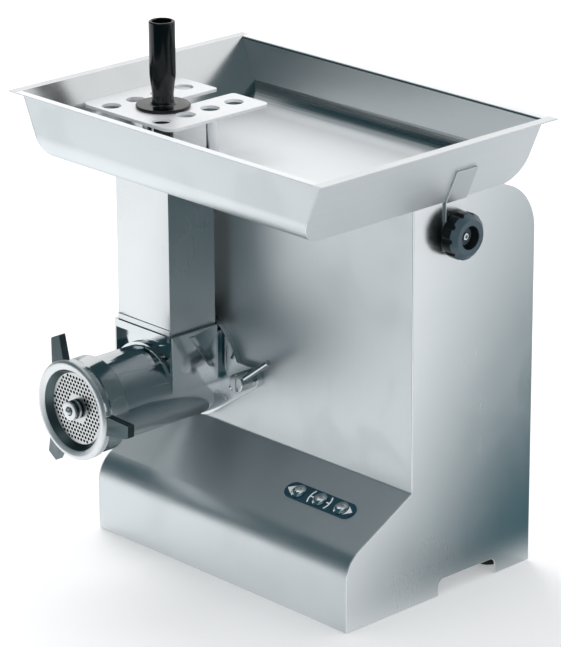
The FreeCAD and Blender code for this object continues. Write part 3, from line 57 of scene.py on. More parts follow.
def setCamera(values):
    turn, lift, roll = (math.radians(values[key]) for key in ("azimuth", "elevation", "roll"))
    right = Vector((math.cos(turn), math.sin(turn), 0))
    back = Vector((math.sin(turn) * math.cos(lift), -math.cos(turn) * math.cos(lift), math.sin(lift)))
    up = back.cross(right)
    rolledRight = right * math.cos(roll) + up * math.sin(roll)
    rolledUp = up * math.cos(roll) - right * math.sin(roll)
    lens = bpy.data.cameras.new("photoCamera")
    lens.lens = values["lens"]
    lens.sensor_width = values["sensor"]
    lens.clip_end = values["clipEnd"]
    holder = bpy.data.objects.new("photoCamera", lens)
    scene.collection.objects.link(holder)
    turned = Matrix((rolledRight, rolledUp, back)).transposed().to_4x4()
    holder.matrix_world = Matrix.Translation(values["spot"]) @ turned
    scene.camera = holder


setCamera(camera)


def nodeIn(tree, kind, values=None, **settings):  # one shader or geometry node with its values
    made = tree.nodes.new(kind)
    for key, value in settings.items():
        setattr(made, key, value)
    for key, value in (values or {}).items():
        made.inputs[key].default_value = value
    return made


def shaderGroup(name, inputs, outputs):
    group = bpy.data.node_groups.new(name, "ShaderNodeTree")
    for label, kind, value in inputs:
        socket = group.interface.new_socket(label, in_out="INPUT", socket_type=kind)
        if value is not None:
            socket.default_value = value
    for label, kind in outputs:
        group.interface.new_socket(label, in_out="OUTPUT", socket_type=kind)
    return group, group.nodes.new("NodeGroupInput"), group.nodes.new("NodeGroupOutput")


def math2(tree, operation, a, b):  # a maths node fed by sockets or plain numbers
    made = nodeIn(tree, "ShaderNodeMath", operation=operation)
    for index, value in enumerate((a, b)):
        if isinstance(value, (int, float)):
            made.inputs[index].default_value = value
        else:
            tree.links.new(value, made.inputs[index])
    return made.outputs[0]


def softStep(tree, value, start, full):
    limits = {"From Min": start, "From Max": full}
    step = nodeIn(tree, "ShaderNodeMapRange", limits, interpolation_type="SMOOTHSTEP")
    tree.links.new(value, step.inputs["Value"])
    return step.outputs["Result"]


def alongWay(tree, place, way):  # how far a place lies along a direction
    dot = nodeIn(tree, "ShaderNodeVectorMath", operation="DOT_PRODUCT")
    tree.links.new(place, dot.inputs[0])
    dot.inputs[1].default_value = Vector(way).normalized()
    return dot.outputs["Value"]


cloudShare = 0.8          # weight of the cloudy patches beside the brushed lines
smearFrom = (0.48, 0.72)  # noise level at which a smear starts and is full
skinPatches = 22.0        # scale of the uneven tone of a moulding or casting


def makeGrainGroup():  # long hair-fine lines of a brushed sheet over broad, cloudy patches
    group, given, result = shaderGroup(
        "brushedGrain",
        [("Lines", "NodeSocketVector", None), ("Place", "NodeSocketVector", None),
         ("Tint", "NodeSocketColor", (0.6, 0.6, 0.6, 1)), ("Tint Spread", "NodeSocketFloat", 0.1),
         ("Roughness", "NodeSocketFloat", 0.35), ("Roughness Spread", "NodeSocketFloat", 0.1),
         ("Cloud Scale", "NodeSocketFloat", 7.0)],
        [("Color", "NodeSocketColor"), ("Roughness", "NodeSocketFloat"), ("Height", "NodeSocketFloat")])
    lines = nodeIn(group, "ShaderNodeTexNoise", {"Scale": 1.0, "Detail": 3.0, "Roughness": 0.6})
    clouds = nodeIn(group, "ShaderNodeTexNoise", {"Detail": 3.0, "Roughness": 0.5})
    group.links.new(given.outputs["Lines"], lines.inputs["Vector"])
    group.links.new(given.outputs["Place"], clouds.inputs["Vector"])
    group.links.new(given.outputs["Cloud Scale"], clouds.inputs["Scale"])
    fine = math2(group, "SUBTRACT", lines.outputs["Fac"], 0.5)
    broad = math2(group, "SUBTRACT", clouds.outputs["Fac"], 0.5)
    both = math2(group, "ADD", fine, math2(group, "MULTIPLY", broad, cloudShare))
    gain = math2(group, "ADD", math2(group, "MULTIPLY", both, given.outputs["Tint Spread"]), 1.0)
    scaled = nodeIn(group, "ShaderNodeVectorMath", operation="SCALE")
    group.links.new(given.outputs["Tint"], scaled.inputs[0])
    group.links.new(gain, scaled.inputs["Scale"])
    group.links.new(scaled.outputs[0], result.inputs["Color"])
    rough = math2(group, "ADD", math2(group, "MULTIPLY", both, given.outputs["Roughness Spread"]),
                  given.outputs["Roughness"])
    group.links.new(rough, result.inputs["Roughness"])
    group.links.new(lines.outputs["Fac"], result.inputs["Height"])
    return group


def makeHandlingGroup():  # faint smears where hands and cloths have been
    group, given, result = shaderGroup(
        "handlingSmears",
        [("Place", "NodeSocketVector", None), ("Scale", "NodeSocketFloat", 14.0),
         ("Amount", "NodeSocketFloat", 0.1)],
        [("Mask", "NodeSocketFloat")])
    smears = nodeIn(group, "ShaderNodeTexNoise", {"Detail": 1.5, "Roughness": 0.4, "Distortion": 0.6})
    group.links.new(given.outputs["Place"], smears.inputs["Vector"])
    group.links.new(given.outputs["Scale"], smears.inputs["Scale"])
    patches = softStep(group, smears.outputs["Fac"], *smearFrom)
    group.links.new(math2(group, "MULTIPLY", patches, given.outputs["Amount"]), result.inputs["Mask"])
    return group


def makeMouldGroup():  # fine pitted skin of a moulding or casting
    group, given, result = shaderGroup(
        "mouldSkin",
        [("Place", "NodeSocketVector", None), ("Scale", "NodeSocketFloat", 900.0),
         ("Tint", "NodeSocketColor", (0.1, 0.1, 0.1, 1)), ("Tint Spread", "NodeSocketFloat", 0.2),
         ("Roughness", "NodeSocketFloat", 0.4), ("Roughness Spread", "NodeSocketFloat", 0.1)],
        [("Color", "NodeSocketColor"), ("Roughness", "NodeSocketFloat"), ("Height", "NodeSocketFloat")])
    pits = nodeIn(group, "ShaderNodeTexVoronoi", feature="SMOOTH_F1")
    clouds = nodeIn(group, "ShaderNodeTexNoise", {"Scale": skinPatches, "Detail": 4.0})
    group.links.new(given.outputs["Place"], pits.inputs["Vector"])
    group.links.new(given.outputs["Scale"], pits.inputs["Scale"])
    group.links.new(given.outputs["Place"], clouds.inputs["Vector"])
    broad = math2(group, "SUBTRACT", clouds.outputs["Fac"], 0.5)
    gain = math2(group, "ADD", math2(group, "MULTIPLY", broad, given.outputs["Tint Spread"]), 1.0)
    scaled = nodeIn(group, "ShaderNodeVectorMath", operation="SCALE")
    group.links.new(given.outputs["Tint"], scaled.inputs[0])
    group.links.new(gain, scaled.inputs["Scale"])
    group.links.new(scaled.outputs[0], result.inputs["Color"])
    rough = math2(group, "ADD", math2(group, "MULTIPLY", broad, given.outputs["Roughness Spread"]),
                  given.outputs["Roughness"])
    group.links.new(rough, result.inputs["Roughness"])
    group.links.new(pits.outputs["Distance"], result.inputs["Height"])
    return group


grainGroup = makeGrainGroup()
handlingGroup = makeHandlingGroup()
mouldGroup = makeMouldGroup()


def newMaterial(name, **sockets):
    made = bpy.data.materials.new(name)
    made.use_nodes = True
    tree = made.node_tree
    shader = tree.nodes["Principled BSDF"]
    for label, value in sockets.items():
        shader.inputs[label.replace("_", " ")].default_value = value
    place = tree.nodes.new("ShaderNodeTexCoord").outputs["Object"]
    return made, tree, shader, place


grainDepth = 0.0001      # metres of brushing at full bump strength
skinDepth = 0.0002       # metres of moulded or cast pitting at full bump strength
smearScale = 30.0        # smears on small pieces lie closer together than on sheets


def addBump(tree, shader, height, strength, distance):
    bump = nodeIn(tree, "ShaderNodeBump", {"Strength": strength, "Distance": distance})
    tree.links.new(height, bump.inputs["Height"])
    tree.links.new(bump.outputs["Normal"], shader.inputs["Normal"])


def groupNode(tree, group, values):
    made = nodeIn(tree, "ShaderNodeGroup", node_tree=group)
    for label, value in values.items():
        made.inputs[label].default_value = value
    return made


def brushedOn(tree, place, lines, values):  # the brushed grain, stretched along its lines
    stretch = nodeIn(tree, "ShaderNodeMapping", {"Scale": lines})
    tree.links.new(place, stretch.inputs["Vector"])
    grain = groupNode(tree, grainGroup, values)
    tree.links.new(stretch.outputs["Vector"], grain.inputs["Lines"])
    tree.links.new(place, grain.inputs["Place"])
    return grain


def smearedRoughness(tree, shader, place, roughness, values):
    smears = groupNode(tree, handlingGroup, values)
    tree.links.new(place, smears.inputs["Place"])
    tree.links.new(math2(tree, "ADD", roughness, smears.outputs["Mask"]), shader.inputs["Roughness"])


def sheetMetal(name, tint, roughness, lines, tintSpread=0.05, roughSpread=0.06, smear=0.04, bump=0.02,
               metallic=1.0):
    made, tree, shader, place = newMaterial(name, Metallic=metallic)
    look = {"Tint": (*tint, 1), "Tint Spread": tintSpread,
            "Roughness": roughness, "Roughness Spread": roughSpread}
    grain = brushedOn(tree, place, lines, look)
    tree.links.new(grain.outputs["Color"], shader.inputs["Base Color"])
    smearedRoughness(tree, shader, place, grain.outputs["Roughness"], {"Amount": smear})
    addBump(tree, shader, grain.outputs["Height"], bump, grainDepth)
    return made


def shadedWallsLitFloor(name, values, lines):  # polished and painted darker on its walls as painted shade, rougher, less metallic and painted paler where it lies flat as painted light from above
    made, tree, shader, place = newMaterial(name)
    turn = tree.nodes.new("ShaderNodeTexCoord").outputs["Normal"]
    flat = softStep(tree, alongWay(tree, turn, (0, 0, 1)), *values["flatFrom"])
    grain = brushedOn(tree, place, lines, values["grain"])
    tint = nodeIn(tree, "ShaderNodeMix", data_type="RGBA")
    tint.inputs["A"].default_value = (*values["shadedWallTint"], 1)
    tint.inputs["B"].default_value = (*values["litFloorTint"], 1)
    tree.links.new(flat, tint.inputs["Factor"])
    tree.links.new(tint.outputs["Result"], grain.inputs["Tint"])
    for label, target in (("Roughness", grain), ("Metallic", shader)):
        wall, bed = values[label]
        blend = math2(tree, "ADD", math2(tree, "MULTIPLY", flat, bed - wall), wall)
        tree.links.new(blend, target.inputs[label])
    tree.links.new(grain.outputs["Color"], shader.inputs["Base Color"])
    tree.links.new(grain.outputs["Roughness"], shader.inputs["Roughness"])
    addBump(tree, shader, grain.outputs["Height"], values["bump"], grainDepth)
    return made


def moulded(name, tint, roughness, scale, bump, metallic=0.0, tintSpread=0.25, roughSpread=0.1, smear=0.05,
            **sockets):
    made, tree, shader, place = newMaterial(name, Metallic=metallic, **sockets)
    skin = groupNode(tree, mouldGroup, {"Tint": (*tint, 1), "Tint Spread": tintSpread, "Roughness": roughness,
                                        "Roughness Spread": roughSpread, "Scale": scale})
    tree.links.new(place, skin.inputs["Place"])
    tree.links.new(skin.outputs["Color"], shader.inputs["Base Color"])
    marks = {"Amount": smear, "Scale": smearScale}
    smearedRoughness(tree, shader, place, skin.outputs["Roughness"], marks)
    addBump(tree, shader, skin.outputs["Height"], bump, skinDepth)
    return made


upright = (240.0, 240.0, 4.0)   # brushing lines run up the sheet
level = (4.0, 240.0, 240.0)     # brushing lines run from side to side
deep = (240.0, 4.0, 240.0)      # brushing lines run from front to back
steelTint = (0.67, 0.705, 0.72)
sideTint = (0.85, 0.872, 0.882)
# the inside of the tray, with painted shade on its walls and painted light on its floor: each pair is for its
# walls, then for its floor
trayInside = {"flatFrom": (0.50, 0.98), "shadedWallTint": (0.38, 0.41, 0.42), "litFloorTint": (0.95, 0.96, 0.965),
              "Roughness": (0.26, 0.50), "Metallic": (1.0, 0.20), "above": 0.05, "rim": 0.9, "bump": 0.02,
              "grain": {"Tint Spread": 0.05, "Roughness Spread": 0.06}}
finishes = {
    "satinFront": sheetMetal("satinFront", steelTint, 0.42, upright),
    "satinSide": sheetMetal("satinSide", sideTint, 0.25, upright, tintSpread=0.03, roughSpread=0.03,
                            smear=0.02, bump=0.01),
    "satinLevel": sheetMetal("satinLevel", steelTint, 0.37, level),
    "satinDeep": sheetMetal("satinDeep", (0.89, 0.905, 0.915), 0.50, deep),
    "satinEnd": sheetMetal("satinEnd", steelTint, 0.42, deep),
    # painted shade on the tray's walls and painted light on its floor
    "trayPaintedLight": shadedWallsLitFloor("trayPaintedLight", trayInside, level),
    "polishedEnd": sheetMetal("polishedEnd", (0.68, 0.70, 0.71), 0.18, deep),
    "satinBracket": sheetMetal("satinBracket", (0.72, 0.74, 0.75), 0.45, upright),
    "satinGuard": sheetMetal("satinGuard", (0.90, 0.91, 0.92), 0.40, level, metallic=0.35),
    "brightDuct": sheetMetal("brightDuct", (0.62, 0.645, 0.655), 0.24, upright, roughSpread=0.08),
    "polishedCasting": moulded("polishedCasting", (0.60, 0.635, 0.65), 0.12, 260.0, 0.05, metallic=1.0,
                               roughSpread=0.08),
    "satinCasting": moulded("satinCasting", (0.58, 0.61, 0.62), 0.28, 320.0, 0.08, metallic=1.0),
    "turnedFace": moulded("turnedFace", (0.74, 0.76, 0.77), 0.42, 700.0, 0.05, metallic=1.0),
    "brightSteel": moulded("brightSteel", (0.62, 0.64, 0.65), 0.16, 700.0, 0.04, metallic=1.0),
    "groundSteel": sheetMetal("groundSteel", (0.58, 0.60, 0.60), 0.30, (500.0, 60.0, 120.0)),
    "oiledSteel": sheetMetal("oiledSteel", (0.36, 0.37, 0.38), 0.32, (300.0, 40.0, 300.0)),
    "castAlloy": moulded("castAlloy", (0.55, 0.56, 0.57), 0.48, 420.0, 0.4, metallic=1.0),
    "motorPaint": moulded("motorPaint", (0.045, 0.055, 0.065), 0.45, 700.0, 0.3),
    "coreStack": sheetMetal("coreStack", (0.30, 0.31, 0.32), 0.45, (40.0, 1800.0, 40.0), bump=0.5),
    # a pale, barely metallic tone painted on eased edges as a painted highlight
    "edgeHighlight": moulded("edgeHighlight", (0.90, 0.91, 0.92), 0.40, 700.0, 0.05, metallic=0.25, tintSpread=0.1),
    # a dark tone painted on the ring's lugs and mouth and on the nose's grooves and bore, standing in for shade
    # and dark reflections
    "castingPaintedShade": moulded("castingPaintedShade", (0.10, 0.135, 0.145), 0.36, 520.0, 0.25, metallic=1.0),
    "glossBlack": moulded("glossBlack", (0.002, 0.003, 0.0035), 0.14, 900.0, 0.03, smear=0.08,
                          Specular_IOR_Level=0.45),
    "gripBlack": moulded("gripBlack", (0.006, 0.009, 0.010), 0.30, 1500.0, 0.25, smear=0.05,
                         Specular_IOR_Level=0.30),
    # a paler, bluer tone for the knob's face than for its black sides: a painted sheen
    "knobFaceSheen": moulded("knobFaceSheen", (0.060, 0.098, 0.124), 0.28, 1500.0, 0.15, smear=0.05),
    # near-black painted shade for the walls inside the plate's holes
    "borePaintedShade": moulded("borePaintedShade", (0.012, 0.015, 0.016), 0.60, 900.0, 0.2, metallic=1.0),
    "printedFilm": moulded("printedFilm", (0.004, 0.050, 0.080), 0.30, 1200.0, 0.1, smear=0.08),
    "printedWhite": moulded("printedWhite", (0.90, 0.91, 0.92), 0.42, 1200.0, 0.1, tintSpread=0.06),
    "chromeButton": moulded("chromeButton", (0.86, 0.88, 0.89), 0.07, 900.0, 0.03, metallic=1.0),
    "footRubber": moulded("footRubber", (0.018, 0.018, 0.019), 0.70, 1300.0, 0.5),
    "mouldedBlack": moulded("mouldedBlack", (0.020, 0.021, 0.023), 0.50, 1400.0, 0.4),
}
finishOfSlot = {
    "satin_steel": "satinSide", "polished_casting": "polishedCasting", "bright_steel": "brightSteel",
    "tool_steel": "groundSteel", "cast_worm": "satinCasting", "shaft_steel": "oiledSteel",
    "gearbox_alloy": "castAlloy", "motor_paint": "motorPaint", "core_steel": "coreStack",
    "black_gloss": "glossBlack", "knob_black": "gripBlack", "panel_film": "printedFilm",
    "button_chrome": "chromeButton", "foot_rubber": "footRubber", "moulded_black": "mouldedBlack"}
finishOfNode = {
    "front_panel": "satinFront", "left_side_panel": "satinFront", "tray_pan": "satinLevel",
    "base_plate": "satinLevel", "tray_end_left": "satinDeep", "tray_end_right": "satinDeep",
    "chute": "brightDuct", "guard_plate": "satinGuard", "tray_bracket": "satinBracket"}
print("finishes:", len(finishes))


def finishFor(node):
    return finishes[finishOfNode.get(node, finishOfSlot[slotOf[node]])]


def setFinish(piece, material):
    piece.data.materials.clear()
    piece.data.materials.append(material)


def keepPiece(piece, body, slot, *nodes):  # hands a finished piece to its body, in place of its nodes
    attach(piece, body)
    if nodes:
        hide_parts(*nodes)


for name, node in frame["nodes"].items():
    setFinish(node, finishFor(name))

weld = 0.000002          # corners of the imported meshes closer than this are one, in metres
softEdges = {"segments": 2, "sharpFrom": 28.0, "flatWithin": 0.4,
             "highlightedEdges": ("left_side_panel", "right_side_panel", "tray_bracket")}
# how far each node's edges are eased, in metres; at 0 only its curves are smoothed
edgeWidths = {
    "head_body": 0.0012, "head_flange": 0.0008, "ring_nut": 0.0012, "guard_plate": 0.0006,
    "front_panel": 0.0005, "left_side_panel": 0.0011, "right_side_panel": 0.0011, "rear_cover": 0.0005,
    "tray_pan": 0.0004, "tray_end_left": 0.0004, "tray_end_right": 0.0004, "chute": 0.0006,
    "tray_bracket": 0.0005, "clamp_screw": 0.0003, "clamp_lever": 0.0006, "control_plate": 0.0003,
    "tray_knob": 0.0008, "pestle": 0.0, "reverse_button": 0.0, "stop_button": 0.0, "start_button": 0.0,
    "knob_stud": 0.0002, "hole_plate": 0.0, "guard_legs": 0.0004, "cable_gland": 0.0006, "worm": 0.0,
    "knife": 0.0004}


def smoothCopy(node, width):  # the node's own solid with welded corners, smooth curves and eased edges
    source = frame["nodes"][node]
    mesh = source.data.copy()
    mesh.name = node + "Dressed"
    build = bmesh.new()
    build.from_mesh(mesh)
    bmesh.ops.remove_doubles(build, verts=build.verts, dist=weld)
    bmesh.ops.dissolve_limit(build, angle_limit=math.radians(softEdges["flatWithin"]), verts=build.verts,
                             edges=build.edges, delimit={"NORMAL"})
    build.to_mesh(mesh)
    build.free()
    if mesh.has_custom_normals:
        mesh.normals_split_custom_set([(0, 0, 0)] * len(mesh.loops))
    mesh.shade_smooth()
    mesh.set_sharp_from_angle(angle=math.radians(softEdges["sharpFrom"]))
    piece = bpy.data.objects.new(node + "Dressed", mesh)
    scene.collection.objects.link(piece)
    setFinish(piece, finishFor(node))
    if width > 0:
        ease = piece.modifiers.new("easedEdges", "BEVEL")
        ease.width = width
        ease.segments = softEdges["segments"]
        ease.limit_method = "ANGLE"
        ease.angle_limit = math.radians(softEdges["sharpFrom"])
        ease.harden_normals = True
        ease.use_clamp_overlap = True
        # the eased edges of these pieces get a painted highlight
        if node in softEdges["highlightedEdges"]:
            mesh.materials.append(finishes["edgeHighlight"])
            ease.material = 1
    keepPiece(piece, bodyOf[node], slotOf[node], node)
    return piece


dressed = {node: smoothCopy(node, width) for node, width in edgeWidths.items()}
print("dressed:", len(dressed), "nodes")

ringFinish = {"lugsFrom": 0.0655, "mouthWithin": 0.056, "mouthTurn": -0.795, "lipDepth": 0.0055}
plateBores = {"within": 0.0475, "steep": 0.30}
knobFace = {"turn": 0.45}
bracketTongue = {"turn": 0.97}
plateLow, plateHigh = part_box("hole_plate")
headAxis = (plateLow + plateHigh) / 2
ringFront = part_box("ring_nut")[0].y


def armOf(face):  # from the head's axis straight out to the face
    return Vector((face.center.x - headAxis.x, 0, face.center.z - headAxis.z))


def isLip(face):
    return face.center.y < ringFront + ringFinish["lipDepth"]


# the ring's lugs and the cone of its mouth are painted dark: painted shade and a painted reflection of the dark
# room
def isRingPaintedShade(face):
    arm = armOf(face)
    turned = face.normal.dot(arm.normalized()) < ringFinish["mouthTurn"]
    inMouth = turned and arm.length < ringFinish["mouthWithin"]
    return inMouth or arm.length > ringFinish["lugsFrom"]


def isBore(face):
    return armOf(face).length < plateBores["within"] and abs(face.normal.y) < plateBores["steep"]


def isKnobFace(face):
    return face.normal.x > knobFace["turn"]


def isTrayInside(face):
    return face.normal.z > trayInside["above"]


def isEndInside(face):  # not the rim, which lies level
    return trayInside["above"] < face.normal.z < trayInside["rim"]


def isTrayOutside(face):
    return face.normal.z < -trayInside["above"]


def isTongue(face):
    return face.normal.x > bracketTongue["turn"]


def partFinish(node, finish, chosen):  # another finish on some faces of a dressed piece
    mesh = dressed[node].data
    mesh.materials.append(finishes[finish])
    for face in mesh.polygons:
        if chosen(face):
            face.material_index = len(mesh.materials) - 1


partFinish("ring_nut", "turnedFace", isLip)
# painted shade on the ring's lugs and mouth
partFinish("ring_nut", "castingPaintedShade", isRingPaintedShade)
# the walls of the plate's holes are painted near-black: painted shade inside the holes
partFinish("hole_plate", "borePaintedShade", isBore)
# the knob's face gets a painted sheen, paler and bluer than its sides
partFinish("tray_knob", "knobFaceSheen", isKnobFace)
# the inside of the tray gets painted shade on its walls and painted light on its floor
partFinish("tray_pan", "trayPaintedLight", isTrayInside)
for node in ("tray_end_left", "tray_end_right"):
    partFinish(node, "polishedEnd", isEndInside)
partFinish("tray_end_left", "satinEnd", isTrayOutside)
partFinish("tray_bracket", "satinSide", isTongue)


def meshPiece(name, corners, faces, *materials):
    mesh = bpy.data.meshes.new(name)
    mesh.from_pydata(corners, [], faces)
    for material in materials:
        mesh.materials.append(material)
    piece = bpy.data.objects.new(name, mesh)
    scene.collection.objects.link(piece)
    return piece


def faceOutwards(mesh):
    build = bmesh.new()
    build.from_mesh(mesh)
    bmesh.ops.remove_doubles(build, verts=build.verts, dist=weld / 2)
    bmesh.ops.recalc_face_normals(build, faces=build.faces)
    build.to_mesh(mesh)
    build.free()


# nose: radius and distance from the tip, then whether the band up to the next ring gets painted shade
noseStud = {
    "steps": 72, "sharpFrom": 40.0, "shank": 0.0125, "thread": 0.008, "shankFrom": 0.0187,
    "profile": (
        (0.0, 0.0, 0), (0.0016, 0.0002, 0), (0.0030, 0.0009, 0), (0.0040, 0.0020, 0),
        (0.0045, 0.0034, 0), (0.0046, 0.0060, 1), (0.0058, 0.0060, 1), (0.0062, 0.0052, 0),
        (0.0112, 0.0050, 0), (0.0121, 0.0054, 0), (0.0125, 0.0064, 0), (0.0125, 0.0078, 0),
        (0.0120, 0.0084, 1), (0.0111, 0.0090, 1), (0.0111, 0.0128, 1), (0.0120, 0.0134, 0),
        (0.0125, 0.0139, 0), (0.0125, 0.0160, 1), (0.0105, 0.0162, 1), (0.0105, 0.0187, 1))}


def makeNoseStud(values):
    low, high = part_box("worm_stud")
    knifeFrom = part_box("knife")[0].y - low.y
    end = high.y - low.y
    shank = [(values["shank"], values["shankFrom"], 1), (values["shank"], knifeFrom, 1),
             (values["thread"], knifeFrom, 1), (values["thread"], end, 1), (0.0, end, 1)]
    steps = values["steps"]
    turns = [2 * math.pi * step / steps for step in range(steps)]
    corners, faces, paintedShadeBands = [], [], []
    for radius, along, paintedDarkness in [*values["profile"], *shank]:
        corners += [(headAxis.x + radius * math.cos(turn), low.y + along,
                     headAxis.z + radius * math.sin(turn)) for turn in turns]
        paintedShadeBands.append(paintedDarkness)
    for ring in range(len(paintedShadeBands) - 1):
        for step in range(steps):
            after = (step + 1) % steps
            here, beyond = ring * steps, (ring + 1) * steps
            faces.append((here + step, here + after, beyond + after, beyond + step))
    piece = meshPiece("noseStud", corners, faces, finishes["turnedFace"], finishes["castingPaintedShade"])
    for number, face in enumerate(piece.data.polygons):
        face.material_index = paintedShadeBands[number // steps]
    faceOutwards(piece.data)
    piece.data.shade_smooth()
    piece.data.set_sharp_from_angle(angle=math.radians(values["sharpFrom"]))
    keepPiece(piece, bodyOf["worm_stud"], slotOf["worm_stud"], "worm_stud")


makeNoseStud(noseStud)
print("nose stud turned")

symbols = {"proud": 0.00012, "stroke": 0.0020, "arcRadius": 0.0172, "arcTurn": 34.0, "tickFrom": 0.0116,
           "apex": 0.0198, "baseAlong": 0.0080, "baseHalf": 0.0082, "clear": 0.0112,
           "arcSteps": 24, "endSteps": 10}


def controlPlane():  # middle of the plate's top, and the ways across, up the slope and out
    press = next(joint for joint in frame["joints"] if joint["name"] == "reverse_press")
    out = -Vector(press["axis"]).normalized()
    across = Vector((1, 0, 0))
    rise = out.cross(across)
    dots = [vertex.co for vertex in frame["nodes"]["control_plate"].data.vertices]
    heights = [spot.dot(rise) for spot in dots]
    low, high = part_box("control_plate")
    middle = across * (low.x + high.x) / 2 + rise * (min(heights) + max(heights)) / 2
    return middle + out * max(spot.dot(out) for spot in dots), across, rise, out


def arcPoints(radius, start, end, steps):
    turns = [math.radians(start + (end - start) * step / steps) for step in range(steps + 1)]
    return [(radius * math.cos(turn), radius * math.sin(turn)) for turn in turns]


def arrowOutline(values):  # points away from the button, hollowed to clear its hole
    lean = math.degrees(math.atan2(values["baseHalf"], values["baseAlong"]))
    return [(values["apex"], 0), *arcPoints(values["clear"], lean, -lean, values["arcSteps"])]


def bracketOutline(values):  # arc about the button with a short tick towards it
    half = values["stroke"] / 2
    turn = values["arcTurn"]
    tick = math.degrees(half / values["arcRadius"])
    inner = values["arcRadius"] - half
    outside = arcPoints(values["arcRadius"] + half, -turn, turn, values["arcSteps"])
    above = arcPoints(inner, turn, tick, values["endSteps"])
    below = arcPoints(inner, -tick, -turn, values["endSteps"])
    return [*outside, *above, (values["tickFrom"], half), (values["tickFrom"], -half), *below]


def addOutline(build, outline, flip, centre, across, rise, out, proud):
    spots = [centre + across * (along * flip) + rise * side for along, side in outline]
    face = build.faces.new([build.verts.new(spot) for spot in spots])
    grown = bmesh.ops.extrude_face_region(build, geom=[face])
    raised = [part for part in grown["geom"] if isinstance(part, bmesh.types.BMVert)]
    bmesh.ops.translate(build, verts=raised, vec=out * proud)


def printSymbols(values):
    middle, across, rise, out = controlPlane()
    build = bmesh.new()
    for node, outline, flips in (("reverse_button", arrowOutline(values), (-1,)),
                                 ("stop_button", bracketOutline(values), (-1, 1)),
                                 ("start_button", arrowOutline(values), (1,))):
        low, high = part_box(node)
        centre = middle + across * ((low.x + high.x) / 2 - middle.x)
        for flip in flips:
            addOutline(build, outline, flip, centre, across, rise, out, values["proud"])
    bmesh.ops.recalc_face_normals(build, faces=build.faces)
    bmesh.ops.triangulate(build, faces=build.faces)
    piece = meshPiece("controlSymbols", [], [], finishes["printedWhite"])
    build.to_mesh(piece.data)
    build.free()
    keepPiece(piece, bodyOf["control_plate"], slotOf["control_plate"])


printSymbols(symbols)
print("symbols printed")

coverScrew = {"Head Radius": 0.005, "Head Height": 0.0026, "Socket Radius": 0.0021, "Socket Depth": 0.0016}
screwMesh = {"segments": 40, "rings": 24, "sharpFrom": 35.0}


def geometryTree(name, inputs):
    tree = bpy.data.node_groups.new(name, "GeometryNodeTree")
    tree.interface.new_socket("Geometry", in_out="INPUT", socket_type="NodeSocketGeometry")
    keys = {}
    for label, value in inputs.items():
        socket = tree.interface.new_socket(label, in_out="INPUT", socket_type="NodeSocketFloat")
        socket.default_value = value
        keys[label] = socket.identifier
    tree.interface.new_socket("Geometry", in_out="OUTPUT", socket_type="NodeSocketGeometry")
    return tree, tree.nodes.new("NodeGroupInput"), tree.nodes.new("NodeGroupOutput"), keys


def makeScrewTree(material):  # a domed head with a hexagon socket on every spot, facing the back
    tree, given, result, keys = geometryTree("socketScrews", coverScrew)
    link = tree.links.new
    ball = nodeIn(tree, "GeometryNodeMeshUVSphere",
                  {"Segments": screwMesh["segments"], "Rings": screwMesh["rings"]})
    link(given.outputs["Head Radius"], ball.inputs["Radius"])
    squash = nodeIn(tree, "ShaderNodeCombineXYZ", {"X": 1.0, "Y": 1.0})
    flatness = math2(tree, "DIVIDE", given.outputs["Head Height"], given.outputs["Head Radius"])
    link(flatness, squash.inputs["Z"])
    dome = tree.nodes.new("GeometryNodeTransform")
    link(ball.outputs["Mesh"], dome.inputs["Geometry"])
    link(squash.outputs["Vector"], dome.inputs["Scale"])
    key = nodeIn(tree, "GeometryNodeMeshCylinder", {"Vertices": 6})
    link(given.outputs["Socket Radius"], key.inputs["Radius"])
    link(math2(tree, "MULTIPLY", given.outputs["Socket Depth"], 2.0), key.inputs["Depth"])
    lift = tree.nodes.new("ShaderNodeCombineXYZ")
    link(given.outputs["Head Height"], lift.inputs["Z"])
    raised = tree.nodes.new("GeometryNodeTransform")
    link(key.outputs["Mesh"], raised.inputs["Geometry"])
    link(lift.outputs["Vector"], raised.inputs["Translation"])
    head = nodeIn(tree, "GeometryNodeMeshBoolean", operation="DIFFERENCE")
    link(dome.outputs["Geometry"], head.inputs["Mesh 1"])
    link(raised.outputs["Geometry"], head.inputs["Mesh 2"])
    spots = nodeIn(tree, "GeometryNodeInstanceOnPoints", {"Rotation": (-math.pi / 2, 0, 0)})
    link(given.outputs["Geometry"], spots.inputs["Points"])
    link(head.outputs["Mesh"], spots.inputs["Instance"])
    real = tree.nodes.new("GeometryNodeRealizeInstances")
    link(spots.outputs["Instances"], real.inputs["Geometry"])
    coat = nodeIn(tree, "GeometryNodeSetMaterial", {"Material": material})
    link(real.outputs["Geometry"], coat.inputs["Geometry"])
    link(coat.outputs["Geometry"], result.inputs["Geometry"])
    return tree, keys


def islandMiddles(node):  # the middle of each separate solid in a node, seen along y
    build = bmesh.new()
    build.from_mesh(frame["nodes"][node].data)
    bmesh.ops.remove_doubles(build, verts=build.verts, dist=weld)
    left = set(build.verts)
    middles = []
    while left:
        island = {left.pop()}
        edge = list(island)
        while edge:
            grown = {link.other_vert(vertex) for vertex in edge for link in vertex.link_edges} - island
            island |= grown
            edge = list(grown)
        left -= island
        xs, zs = [vertex.co.x for vertex in island], [vertex.co.z for vertex in island]
        middles.append(((min(xs) + max(xs)) / 2, (min(zs) + max(zs)) / 2))
    build.free()
    return sorted(middles)


